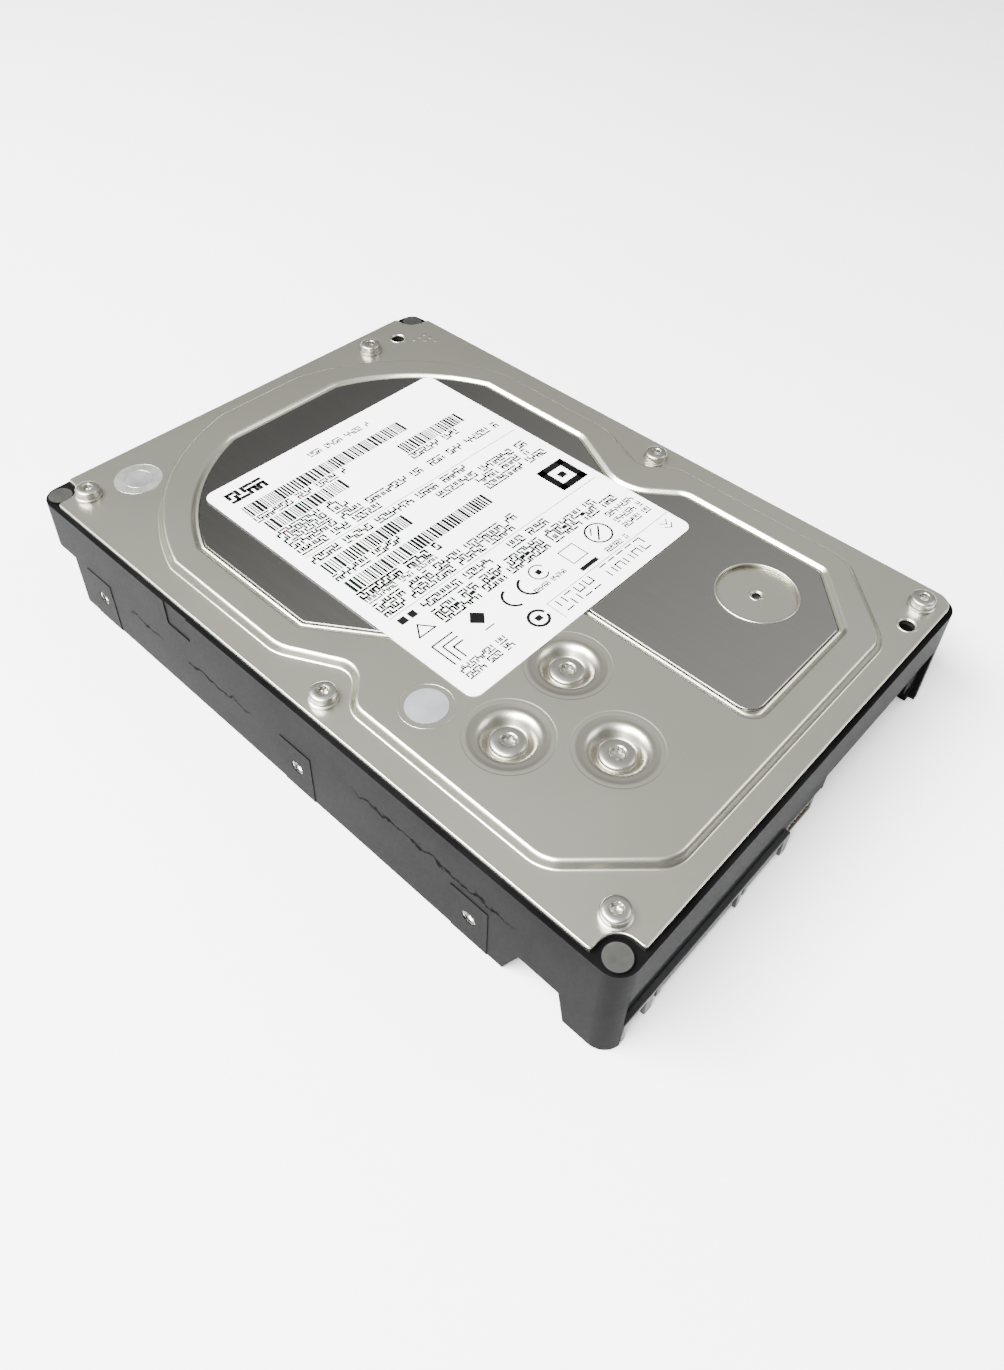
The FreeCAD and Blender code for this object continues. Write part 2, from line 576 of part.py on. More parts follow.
def voice_coil():
    """The flat coil behind the pivot and the moulded fork that holds it."""
    half = "coil_half_angle"
    outer = sector("coil_inner", "coil_outer", f"180-{half}", f"180+{half}", "coil_low", "coil_high")
    window = sector("coil_inner+2.8", "coil_outer-2.8", f"180-{half}+7", f"180+{half}-7", "coil_low-1",
                    "coil_high+1")
    piece("voice_coil", on_actuator(cut(outer, window)))
    low = "coil_low+0.3"
    high = "coil_high-0.3"
    fork = sector("block_radius-0.4", "coil_outer+0.6", f"180-{half}-1.2", f"180+{half}+1.2", low, high)
    room = sector("coil_inner-0.02", "coil_outer+0.02", f"180-{half}-0.05", f"180+{half}+0.05",
                  "coil_low-1", "coil_high+1")
    core = rod("block_radius+0.02", "20", ("0", "0", "5"))
    piece("coil_frame", on_actuator(cut(fork, room, core)))


def head_parts():
    """Eight flexures, each with a slider on the side that faces its disk."""
    flexures = []
    sliders = []
    for number in range(5):
        for side in (-1, 1):
            if (number, side) in ((0, -1), (4, 1)):
                continue
            level = arm_level(number)
            low = f"{level}+{side}*(flexure_offset+flexure/2)-flexure/2"
            corners = [("arm_reach-4", "-2.1"), ("arm_reach+3", "-2"), ("head_reach+1", "-0.6"),
                       ("tab_reach", "-0.4"), ("tab_reach", "0.4"), ("head_reach+1", "0.6"),
                       ("arm_reach+3", "2"), ("arm_reach-4", "2.1")]
            flexures.append(prism(corners, low, "flexure"))
            face = f"{level}+{side}*(flexure_offset+flexure+slider_high/2)-slider_high/2"
            sliders.append(box(("head_reach-0.62", "-0.5", face), ("1.25", "1", "slider_high")))
    return flexures, sliders


def arm_tips(flexures, sliders):
    piece("head_flexures", on_actuator(group(flexures)))
    piece("head_sliders", on_actuator(group(sliders)))


def actuator_electronics():
    """The preamplifier on the block's side, and the flexible circuit that loops back from the block to
    the fixed bracket. The ribbon runs along +X, turns by half a circle and comes back."""
    piece("preamp_chip", on_actuator(group([box(("4", "-10.3", "12"), ("4", "0.8", "4"))])))
    thick = 0.2
    bend = 5.0           # the loop's outer radius
    start = 11.5         # where the loop begins to turn
    middle = -9.1 - bend
    sides = []
    for radius in (bend, bend - thick):
        sides.append((Vector(9, middle + radius, 0), Vector(start, middle + radius, 0),
                      Vector(start + radius, middle, 0), Vector(start, middle - radius, 0),
                      Vector(5, middle - radius, 0)))
    outer, inner = sides
    edges = []
    for side in sides:
        edges += [Part.LineSegment(side[0], side[1]), Part.Arc(*side[1:4])]
        edges.append(Part.LineSegment(side[3], side[4]))
    edges += [Part.LineSegment(outer[0], inner[0]), Part.LineSegment(outer[4], inner[4])]
    face = Part.Face(Part.Wire(Part.__sortEdges__([edge.toShape() for edge in edges])))
    face.translate(Vector(0, 0, 9.5))
    ribbon = doc.addObject("Part::Feature", "Ribbon")
    ribbon.Shape = face.extrude(Vector(0, 0, 10))
    piece("actuator_flex", on_actuator(ribbon))


def flex_bracket():
    """The fixed end of the flexible circuit, with the connector that passes through the floor."""
    plate = box(("-2", "-20.9", "floor_top"), ("7", "1.4", "13"))
    foot = box(("-4", "-24.5", "floor_top"), ("13", "5", "1.6"))
    bracket = cut(fuse(plate, foot), rod("0.85", "4", ("7", "-22", "floor_top-1")),
                  rod("0.85", "4", ("-2.4", "-22.6", "floor_top-1")))
    piece("flex_bracket", on_actuator(bracket))
    piece("head_connector", box(("3", "-66", "floor_top"), ("14", "4.4", "5.5")))


# ---------------------------------------------------------------- voice coil motor

def around_pivot(solid):
    """Places a solid drawn about the pivot with its middle line along +X on the motor's middle line."""
    solid.Placement = Placement(Vector(), Rotation(Z_AXIS, value("motor_angle")))
    return put(solid, "pivot_x", "pivot_y")


def yoke(low, high):
    """A steel plate: a wide inner band that reaches both posts, and a narrower outer one with an ear."""
    inner = sector("yoke_inner", "25", "-57", "57", low, high)
    outer = sector("24.5", "yoke_outer", "-35", "35", low, high)
    ear = rod("3.4", f"({high})-({low})", (*EAR, low))
    neck = prism([("26", "1"), ("32", "3"), ("32", "13"), ("26", "13")], low, f"({high})-({low})")
    return fuse(inner, outer, ear, neck)


EAR = ("33.4*cos(14)", "33.4*sin(14)")


def posts():
    places = [EAR]
    for side in (-1, 1):
        places.append((f"post_reach*cos({side}*post_angle)", f"post_reach*sin({side}*post_angle)"))
    return places


def coil_motor():
    piece("lower_yoke", around_pivot(yoke("floor_top", "lower_yoke_top")))
    threads = []
    for x, y in DIMPLES[1:]:
        threads.append(rod(f"shank_radius*{LARGE}+0.02", "4", (x, y, "upper_yoke_low-0.5")))
    piece("upper_yoke", cut(around_pivot(yoke("upper_yoke_low", "upper_yoke_top")), *threads))
    halves = [sector("17.5", "28.5", first, last, low, f"{low}+magnet_thick")
              for low in ("lower_yoke_top", "upper_yoke_low-magnet_thick")
              for first, last in (("-30", "-0.3"), ("0.3", "30"))]
    piece("coil_magnets", around_pivot(group(halves)))
    columns = [rod("post_radius", "upper_yoke_low-lower_yoke_top", (x, y, "lower_yoke_top"))
               for x, y in posts()]
    piece("yoke_posts", around_pivot(group(columns)))


def stops_and_latch():
    """Rubber pins that end the swing at both sides, and the small lever that holds the parked coil."""
    pins = []
    gap = 4.1
    parked = 180 + value("park_angle") - value("coil_half_angle") - 1.2 - gap
    inmost = 180 + value("park_angle") + value("swing") + value("coil_half_angle") + 1.2 + gap
    for angle in (parked, inmost):
        pins.append(rod("1.2", "6.8", (f"pivot_x+21*cos({angle})", f"pivot_y+21*sin({angle})",
                                       "lower_yoke_top")))
    piece("crash_stops", group(pins))
    pin_x, pin_y = "-40.8", "-26.4"
    piece("latch_pin", rod("0.8", "13", (pin_x, pin_y, "floor_top")))
    arm = prism([(f"{pin_x}-1.4", f"{pin_y}+0.4"), (f"{pin_x}-3.1", "-29"), (f"{pin_x}-3.1", "-33.4"),
                 (f"{pin_x}-2.3", "-33.4"), (f"{pin_x}-2.2", "-29.4"), (f"{pin_x}+0.6", f"{pin_y}-1.2")],
                "13", "3.6")
    tail = prism([(f"{pin_x}-1.2", f"{pin_y}+1"), (f"{pin_x}+1.2", f"{pin_y}+1"),
                  (f"{pin_x}+1.6", f"{pin_y}+6"), (f"{pin_x}-1.0", f"{pin_y}+6")], "13", "3.6")
    lever = fuse(rod("1.8", "3.6", (pin_x, pin_y, "13")), arm, tail)
    piece("latch_lever", cut(lever, rod("0.84", "8", (pin_x, pin_y, "11"))))


def load_ramp():
    """The comb that the flexures' tips climb when they park, with a slot for each disk's rim."""
    low = "floor_top"
    comb = []
    slots = []
    for number in range(4):
        middle = f"disk_low+disk_thick/2+{number}*disk_pitch"
        tooth = sector("ramp_inner", "ramp_outer", "ramp_start", "ramp_end", f"{middle}-tooth_half",
                       f"{middle}+tooth_half")
        comb.append(tooth)
        slots.append(ring("disk_radius+0.35", "40", f"{middle}-slot_half", f"{middle}+slot_half",
                          y="spindle_y"))
    back = sector("ramp_outer-1.1", "ramp_outer", "ramp_start", "ramp_end", low, "21.4")
    foot = sector("ramp_inner-2", "ramp_outer", "ramp_start-7", "ramp_start+1.4", low, f"{low}+1.6")
    placed = put(fuse(back, foot, *comb), "pivot_x", "pivot_y")
    screw_hole = rod("0.85", "6", (*RAMP_SCREW, "floor_top-1"))
    piece("load_ramp", cut(placed, *slots, screw_hole))


RAMP_SCREW = ("pivot_x+54*cos(ramp_start-4)", "pivot_y+54*sin(ramp_start-4)")


def inner_screws():
    """The small screws that hold the ramp and the flex bracket to the floor."""
    places = [RAMP_SCREW]
    for x, y in ((7.0, -22.0), (-2.4, -22.6)):
        places.append((f"pivot_x+{x}*cos(park_angle)-({y})*sin(park_angle)",
                       f"pivot_y+{x}*sin(park_angle)+({y})*cos(park_angle)"))
    return piece("inner_screws", group([pan_screw(x, y, "floor_top+1.6", "1.6", SMALL, "1.3")
                                        for x, y in places]))


# ---------------------------------------------------------------- electronics underneath

def board():
    outline = [("-board_side", "-board_near"), ("board_side", "-board_near"), ("board_side", "board_far"),
               ("20", "board_far"), ("15", "board_far-6"), ("-15", "board_far-6"), ("-20", "board_far"),
               ("-board_side", "board_far")]
    plate = prism(outline, "board_low", "board_high-board_low", [((0, 1, 2, 7), "1.5")])
    holes = [rod("1.0", "4", (x, y, "board_low-1")) for x, y in BOARD_SCREWS]
    piece("circuit_board", cut(plate, *holes))
    piece("board_screws", group([upward_screw(x, y) for x, y in BOARD_SCREWS]))
    pad = prism(rectangle("26", "20", "4", "-32"), "board_high", "floor_low-board_high",
                [((0, 1, 2, 3), "3")])
    piece("insulator_pad", cut(pad, rod("2.4", "4", (*BOARD_SCREWS[4], "board_high-1"))))


def upward_screw(x, y):
    """A low-headed screw that enters the floor from below."""
    profile = [("0.8", "-0.5"), ("0.8", "-1.1"), ("1.9", "-1.1"), ("1.9", "0"), ("0.78", "0"),
               ("0.78", "2.6"), ("0", "2.6"), ("0", "-0.5")]
    return turned(profile, x, y, "board_low")


def chip(x, y, across, along, thick):
    """A flat package on the outward face of the board."""
    return box((f"{x}-{across}/2", f"{y}-{along}/2", f"board_low-{thick}"), (across, along, thick))


def chips():
    piece("controller_chip", chip("2", "-34", "17", "17", "1.2"))
    piece("memory_chip", chip("-20", "-36", "8", "12.5", "1.0"))
    piece("motor_driver_chip", chip("22", "-12", "9", "9", "1.0"))
    small = [chip("-32", "-20", "5", "6", "1.0"), chip("33", "-34", "5", "4", "1.1")]
    for number in range(6):
        small.append(chip(f"-34+{number}*4.2", "-50", "2", "1.25", "0.6"))
        small.append(chip(f"14+{number}*4.2", "-52", "1.6", "3.2", "0.8"))
        small.append(chip(f"-12+{number}*5", "-2.4", "1.25", "2", "0.6"))
    for number in range(3):
        small.append(chip("37", f"-8-{number}*7", "4", "4.4", "1.6"))
    piece("small_components", group(small))


def drive_connector():
    """The combined power and data connector: one moulded shell with a guide slot and two tongues."""
    face = "-length/2+0.1"
    deep = f"-shell_back-({face})"
    shell = box(("-47.2", face, "shell_low"), ("45.9", deep, "shell_top-shell_low"))
    rooms = [box(("-46.4", f"{face}-1", "shell_low-1"), ("4.9", f"{deep}+0.2", "4.7-shell_low+1")),
             box(("-39.6", f"{face}-1", "shell_low-1"), ("22.8", f"{deep}", "shell_top-shell_low+0.2")),
             box(("-15.8", f"{face}-1", "shell_low-1"), ("12.6", f"{deep}", "shell_top-shell_low+0.2"))]
    shell = cut(shell, *rooms)
    tongues = []
    for low, across in (("-38.4", "20.4"), ("-14.6", "10.2")):
        tongues.append(box((low, f"{face}+0.2", "tongue_low"), (across, f"{deep}-0.2", "tongue_thick")))
        tongues.append(box((low, f"{face}+0.2", "tongue_low-1.2"), ("1.2", f"{deep}-0.2", "1.3")))
    piece("drive_connector", fuse(shell, *tongues))
    contacts = []
    for start, count in (("-36.5", 15), ("-12.9", 7)):
        for number in range(count):
            contacts.append(box((f"{start}+{number}*contact_pitch-0.4", f"{face}+0.7",
                                 "tongue_low+tongue_thick"), ("0.8", "2.9", "0.15")))
    piece("connector_contacts", group(contacts))


def jumper_header():
    shell = box(("-0.4", "-length/2+1.3", "header_low"), ("9.2", "-shell_back+length/2-1.3", "3.9"))
    piece("jumper_header", cut(shell, box(("0.4", "-length/2", "header_low+0.7"), ("7.6", "3.6", "2.6"))))
    pins = []
    for column in range(4):
        for row in range(2):
            pins.append(box((f"1+{column}*2", "-length/2+1.5", f"1.75+{row}*1.4"), ("0.5", "2.1", "0.5")))
    piece("jumper_pins", group(pins))


# ---------------------------------------------------------------- build, check and write

base_casting()
cover_gasket()
top_cover()
damper_plate()
main_label()
seal_stickers()
cover_fasteners()
filters()
motor_stator()
motor_flex()
rotor()
actuator_block()
pivot_bearings()
voice_coil()
arm_tips(*head_parts())
actuator_electronics()
flex_bracket()
coil_motor()
stops_and_latch()
load_ramp()
inner_screws()
board()
chips()
drive_connector()
jumper_header()
doc.recompute()

failed = [item.Name for item in doc.Objects if "Invalid" in item.State or "Error" in item.State]
assert not failed, f"objects that did not compute: {failed}"
assert len(pieces) <= NODES, f"{len(pieces)} sub-parts"
for item in pieces:
    assert not item.Shape.isNull() and item.Shape.isValid(), f"{item.Label} has no valid shape"
    assert item.Shape.Solids, f"{item.Label} has no solid"

os.makedirs("parts", exist_ok=True)
for item in pieces:
    item.Shape.exportStep(f"parts/{item.Label}.step")
    print(f"{item.Label:24s} {len(item.Shape.Solids):3d} solids {item.Shape.Volume:10.2f} mm3")
print(f"{len(pieces)} sub-parts")
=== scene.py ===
import json
import math
import random

import bmesh
import bpy
import numpy as np
from mathutils import Matrix, Vector
from mathutils.geometry import delaunay_2d_cdt


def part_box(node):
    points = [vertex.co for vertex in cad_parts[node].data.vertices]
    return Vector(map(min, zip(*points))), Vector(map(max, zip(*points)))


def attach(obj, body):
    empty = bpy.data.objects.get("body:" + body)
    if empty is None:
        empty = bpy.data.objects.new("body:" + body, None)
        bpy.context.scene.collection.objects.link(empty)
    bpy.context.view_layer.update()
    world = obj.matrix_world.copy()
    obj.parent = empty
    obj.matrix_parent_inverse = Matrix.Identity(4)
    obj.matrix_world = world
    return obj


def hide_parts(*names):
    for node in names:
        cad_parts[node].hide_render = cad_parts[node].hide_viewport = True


# A 3.5 inch hard disk drive seen from above its near left corner.
# Shapes are worked out in millimetres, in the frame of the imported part, and become metres in one place: solid().
MM = 0.001

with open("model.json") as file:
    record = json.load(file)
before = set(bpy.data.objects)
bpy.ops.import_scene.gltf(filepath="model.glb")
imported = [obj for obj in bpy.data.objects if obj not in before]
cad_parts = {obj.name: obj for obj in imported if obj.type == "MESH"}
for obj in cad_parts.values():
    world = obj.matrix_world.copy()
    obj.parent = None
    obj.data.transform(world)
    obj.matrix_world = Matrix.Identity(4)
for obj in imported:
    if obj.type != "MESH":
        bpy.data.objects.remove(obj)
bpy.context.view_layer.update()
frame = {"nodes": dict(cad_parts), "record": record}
NODES = frame["nodes"]
BODIES = frame["record"]["behaviour"]["bodies"]
SLOT_OF = {row["node"]: row["material_slot"] for row in frame["record"]["subparts"]}


def corner(node, which):
    """The lowest (0) or highest (1) corner of a CAD node, in millimetres."""
    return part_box(node)[which] / MM


# ------------------------------------------------------------------ heights and places: some taken from the frame, the rest listed

SHEET = 0.5                                     # thickness of the cover's steel
FLANGE = corner("cover_gasket", 1).z + SHEET    # top of the cover round its edge
STEP = corner("main_label", 0).z                # top of the cover's raised part
RECESS = corner("damper_plate", 0).z            # floor of the sunk field
PLATE = corner("damper_plate", 1).z             # top of the damper plate
LABEL = corner("main_label", 1).z
SPINDLE = ((corner("disk_clamp", 0) + corner("disk_clamp", 1)) / 2).xy
PIVOT = ((corner("pivot_shaft", 0) + corner("pivot_shaft", 1)) / 2).xy
HALF_WIDTH = corner("base_casting", 1).x
HALF_LENGTH = corner("base_casting", 1).y
PADS = ((-47.7, -70.3), (-47.7, 70.3), (47.7, 70.3))      # machined pads on the casting's corners
PAD_TOP = corner("base_casting", 1).z

EDGE_SCREWS = ((-44.2, 65.4), (30.6, 66.4), (-46.0, -7.1), (44.8, -6.7), (-43.5, -66.4), (44.6, -68.3))
EDGE_HOLES = ((38.8, 65.8), (37.8, -69.0))
DIMPLES = ((PIVOT.x, PIVOT.y), (-31.4, -34.9), (-21.2, -49.1))
BREATHER = (24.6, -45.2)
EDGE_SEAL = (-34.6, 63.0)
STEP_SEAL = (-36.2, -21.2)


# ------------------------------------------------------------------ meshes

def solid(name, points, faces, material, body="root", smooth=True, sharp=None, normals=None):
    """A mesh piece from points in millimetres, riding on a body."""
    mesh = bpy.data.meshes.new(name)
    mesh.from_pydata((np.asarray(points, float) * MM).tolist(), [], faces)
    mesh.polygons.foreach_set("use_smooth", [smooth] * len(mesh.polygons))
    if sharp is not None:
        mesh.set_sharp_from_angle(angle=math.radians(sharp))
    if normals is not None:
        mesh.normals_split_custom_set_from_vertices(normals)
    mesh.materials.append(material)
    piece = bpy.data.objects.new(name, mesh)
    bpy.context.scene.collection.objects.link(piece)
    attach(piece, body)
    return piece


class Bits:
    """Collects many small solids that end up in one piece."""

    def __init__(self):
        self.points = []
        self.faces = []

    def add(self, points, faces):
        start = len(self.points)
        self.points.extend(points)
        self.faces.extend([[start + index for index in face] for face in faces])

    def prism(self, outline, low, high):
        """A straight-sided solid over a counterclockwise outline."""
        count = len(outline)
        points = [(x, y, low) for x, y in outline] + [(x, y, high) for x, y in outline]
        sides = [(i, (i + 1) % count, count + (i + 1) % count, count + i) for i in range(count)]
        self.add(points, [tuple(reversed(range(count)))] + [tuple(range(count, 2 * count))] + sides)

    def block(self, x0, x1, y0, y1, low, high):
        self.prism([(x0, y0), (x1, y0), (x1, y1), (x0, y1)], low, high)

    def rings(self, loops):
        """A skin over closed loops of equal length, from the first, closed at both ends."""
        count = len(loops[0])
        points = [point for loop in loops for point in loop]
        faces = [tuple(reversed(range(count)))]
        for row in range(len(loops) - 1):
            for i in range(count):
                j = (i + 1) % count
                faces.append((row * count + i, row * count + j, (row + 1) * count + j, (row + 1) * count + i))
        faces.append(tuple(range(len(points) - count, len(points))))
        self.add(points, faces)

    def made(self, name, material, body="root", sharp=30):
        """One piece from all that was collected; with sharp, faces that meet at less than it shade smooth."""
        piece = solid(name, self.points, self.faces, material, body, bool(sharp))
        form = bmesh.new()
        form.from_mesh(piece.data)
        bmesh.ops.recalc_face_normals(form, faces=form.faces)
        form.to_mesh(piece.data)
        form.free()
        if sharp:
            piece.data.set_sharp_from_angle(angle=math.radians(sharp))
        return piece


def arc(middle, radius, first, last, step=3.0):
    """Points of an arc between two angles in degrees, both ends included."""
    count = max(2, math.ceil(abs(last - first) / step))
    angles = [math.radians(first + (last - first) * i / count) for i in range(count + 1)]
    return [(middle[0] + radius * math.cos(a), middle[1] + radius * math.sin(a)) for a in angles]


def rounded(corners):
    """A closed outline from corners; each corner is (x, y) or (x, y, radius)."""
    path = []
    for index, this in enumerate(corners):
        if len(this) == 2 or this[2] == 0:
            path.append(this[:2])
            continue
        here = Vector(this[:2])
        back = (Vector(corners[index - 1][:2]) - here).normalized()
        ahead = (Vector(corners[(index + 1) % len(corners)][:2]) - here).normalized()
        half = math.acos(max(-1, min(1, back.dot(ahead)))) / 2
        centre = here + (back + ahead).normalized() * (this[2] / math.sin(half))
        start = here + back * (this[2] / math.tan(half)) - centre
        turn = math.pi - 2 * half
        side = 1 if back.cross(ahead) < 0 else -1
        count = max(2, math.ceil(math.degrees(turn) / 6))
        for step in range(count + 1):
            path.append(tuple(centre + Matrix.Rotation(side * turn * step / count, 2) @ start))
    return [spot for i, spot in enumerate(path) if math.dist(spot, path[i - 1]) > 0.01]


def distance(points, outline):
    """How far inside an outline each point lies (negative outside), and the direction that leads inwards."""
    loop = np.asarray(outline, float)
    start, along = loop, np.roll(loop, -1, 0) - loop
    length = (along ** 2).sum(1)
    best = np.full(len(points), 1e9)
    nearest = np.zeros_like(points)
    inside = np.zeros(len(points), bool)
    for (x, y), (dx, dy), size in zip(start, along, length):
        share = np.clip(((points[:, 0] - x) * dx + (points[:, 1] - y) * dy) / size, 0, 1)
        spot = np.stack((x + share * dx, y + share * dy), 1)
        gap = ((points - spot) ** 2).sum(1)
        closer = gap < best
        best[closer] = gap[closer]
        nearest[closer] = spot[closer]
        crosses = (points[:, 1] < y) != (points[:, 1] < y + dy)
        if dy != 0:
            reach = x + (points[:, 1] - y) * dx / dy
            inside ^= crosses & (points[:, 0] < reach)
    depth = np.sqrt(best)
    inward = np.where(inside, 1, -1)[:, None] * (points - nearest) / np.maximum(depth, 1e-9)[:, None]
    return np.where(inside, depth, -depth), inward


class Slope:
    """A smooth rise from 0 to 1: the steepness grows, stays level and fades between four places."""

    def __init__(self, start, steep, easing, end):
        self.places = np.linspace(start, end, 400)
        self.contours = sorted({*np.linspace(start, steep, 4), *np.linspace(steep, easing, 3),
                                *np.linspace(easing, end, 6)})
        steepness = np.interp(self.places, (start, steep, easing, end), (0, 1, 1, 0))
        height = np.concatenate(([0], np.cumsum((steepness[1:] + steepness[:-1]) / 2)))
        self.steepness = steepness / (height[-1] * (self.places[1] - self.places[0]))
        self.height = height / height[-1]

    def __call__(self, where):
        rate = np.interp(where, self.places, self.steepness, left=0, right=0)
        return np.interp(where, self.places, self.height), rate


# ------------------------------------------------------------------ materials

def node(tree, kind, inputs=None, **settings):
    """Adds a shader node; inputs are given by socket name, as a value or another node's socket."""
    made = tree.nodes.new(kind)
    for key, setting in settings.items():
        setattr(made, key, setting)
    for key, given in (inputs or {}).items():
        socket = made.inputs[key]
        if isinstance(given, bpy.types.NodeSocket):
            tree.links.new(given, socket)
        else:
            socket.default_value = given
    return made


def start_material(name):
    """A new material with its shader and the piece's own coordinates in metres."""
    material = bpy.data.materials.new(name)
    material.use_nodes = True
    tree = material.node_tree
    shader = tree.nodes["Principled BSDF"]
    place = node(tree, "ShaderNodeTexCoord").outputs["Object"]
    return material, tree, shader, place


def spread(tree, factor, low, high, start=0.35, stop=0.65):
    """Maps a noise value to a range."""
    made = node(tree, "ShaderNodeMapRange", {"Value": factor, "From Min": start, "From Max": stop,
                                             "To Min": low, "To Max": high})
    return made.outputs["Result"]


def blended(tree, factor, first, second):
    """Mixes two colours."""
    made = tree.nodes.new("ShaderNodeMix")
    made.data_type = "RGBA"
    for index, given in ((0, factor), (6, first), (7, second)):
        if isinstance(given, bpy.types.NodeSocket):
            tree.links.new(given, made.inputs[index])
        elif index:
            made.inputs[index].default_value = (*given, 1)
        else:
            made.inputs[index].default_value = given
    return made.outputs[2]


def noise(tree, place, scale, detail=3.0, stretch=(1, 1, 1), rough=0.55):
    """Noise whose features are about 1/scale metres across."""
    where = node(tree, "ShaderNodeMapping", {"Vector": place, "Scale": stretch}).outputs["Vector"]
    made = node(tree, "ShaderNodeTexNoise", {"Vector": where, "Scale": scale, "Detail": detail,
                                             "Roughness": rough})
    return made.outputs["Fac"]


def bump(tree, shader, height, depth_mm, strength=1.0):
    made = node(tree, "ShaderNodeBump", {"Height": height, "Distance": depth_mm * MM, "Strength": strength})
    tree.links.new(made.outputs["Normal"], shader.inputs["Normal"])


def surface(name, dark, light, rough, metallic=0.0, grain=900.0, relief=0.004, patches=60.0,
            stretch=(1, 1, 1), **sockets):
    """A material with large soft patches of tone, fine grain in roughness, and relief from the grain."""
    material, tree, shader, place = start_material(name)
    tone = noise(tree, place, patches, 2.0)
    fine = noise(tree, place, grain, 4.0, stretch)
    tree.links.new(blended(tree, spread(tree, tone, 0, 1), dark, light), shader.inputs["Base Color"])
    tree.links.new(spread(tree, fine, rough[0], rough[1]), shader.inputs["Roughness"])
    shader.inputs["Metallic"].default_value = metallic
    for key, setting in sockets.items():
        shader.inputs[key.replace("_", " ")].default_value = setting
    bump(tree, shader, fine, relief)
    return material


def within(tree, axes, middles, full, none):
    """1 near any of the middles and 0 further off in plan, fading between two radii in millimetres."""
    level = node(tree, "ShaderNodeCombineXYZ", {"X": axes["X"], "Y": axes["Y"]}).outputs["Vector"]
    total = None
    for x, y in middles:
        gap = node(tree, "ShaderNodeVectorMath", {0: level, 1: (x * MM, y * MM, 0)},
                   operation="DISTANCE").outputs["Value"]
        share = spread(tree, gap, 1, 0, full * MM, none * MM)
        if total is None:
            total = share
        else:
            total = node(tree, "ShaderNodeMath", {0: total, 1: share}, operation="MAXIMUM").outputs[0]
    return total


def casting_material():
    """Black coated casting: fine orange-peel relief, ragged parting marks on the left wall, and bare
    metal where the corner pads are machined."""
    material, tree, shader, place = start_material("coated_casting")
    axes = node(tree, "ShaderNodeSeparateXYZ", {"Vector": place}).outputs
    peel = noise(tree, place, 1400.0, 3.0)
    patches = noise(tree, place, 90.0, 3.0)
    ragged = noise(tree, place, 420.0, 5.0)
    wander = node(tree, "ShaderNodeMath", {0: ragged, 1: 0.0052, 2: -0.0026}, operation="MULTIPLY_ADD")
    marks = None
    for height, first, last in ((0.0146, -0.055, -0.018), (0.0101, 0.008, 0.047)):
        level = node(tree, "ShaderNodeMath", {0: axes["Z"], 1: -height}, operation="ADD").outputs[0]
        level = node(tree, "ShaderNodeMath", {0: level, 1: wander.outputs[0]}, operation="ADD").outputs[0]
        gap = node(tree, "ShaderNodeMath", {0: level}, operation="ABSOLUTE").outputs[0]
        line = spread(tree, gap, 1.0, 0.0, 0.00016, 0.00042)
        near = spread(tree, axes["Y"], 0.0, 1.0, first, first + 0.004)
        far = spread(tree, axes["Y"], 1.0, 0.0, last - 0.004, last)
        wall = spread(tree, axes["X"], 1.0, 0.0, -0.0503, -0.0500)
        broken = spread(tree, patches, 0.0, 1.0, 0.41, 0.46)
        for share in (near, far, wall, broken):
            line = node(tree, "ShaderNodeMath", {0: line, 1: share}, operation="MULTIPLY").outputs[0]
        if marks is None:
            marks = line
        else:
            marks = node(tree, "ShaderNodeMath", {0: marks, 1: line}, operation="MAXIMUM").outputs[0]
    pad = node(tree, "ShaderNodeMath", {0: spread(tree, axes["Z"], 0.0, 1.0, (PAD_TOP - 0.06) * MM,
                                                  (PAD_TOP - 0.03) * MM),
                                        1: within(tree, axes, PADS, 2.22, 2.26)}, operation="MULTIPLY").outputs[0]
    coat = blended(tree, spread(tree, patches, 0, 1), (0.0022, 0.0022, 0.0023), (0.0042, 0.0042, 0.0044))
    coat = blended(tree, marks, coat, (0.002, 0.002, 0.002))
    turned = noise(tree, place, 1500.0, 2.0, (0.3, 0.3, 1))
    metal = blended(tree, spread(tree, turned, 0, 1), (0.085, 0.085, 0.08), (0.10, 0.10, 0.094))
    tree.links.new(blended(tree, pad, coat, metal), shader.inputs["Base Color"])
    tree.links.new(pad, shader.inputs["Metallic"])
    shader.inputs["IOR"].default_value = 1.07
    rough = spread(tree, peel, 0.43, 0.47)
    rough = node(tree, "ShaderNodeMath", {0: rough, 1: node(tree, "ShaderNodeMath", {0: marks, 1: 0.4},
                 operation="MULTIPLY").outputs[0]}, operation="ADD").outputs[0]
    tree.links.new(rough, shader.inputs["Roughness"])
    relief = node(tree, "ShaderNodeMath", {0: peel, 1: marks}, operation="SUBTRACT").outputs[0]
    bump(tree, shader, relief, 0.006)
    return material


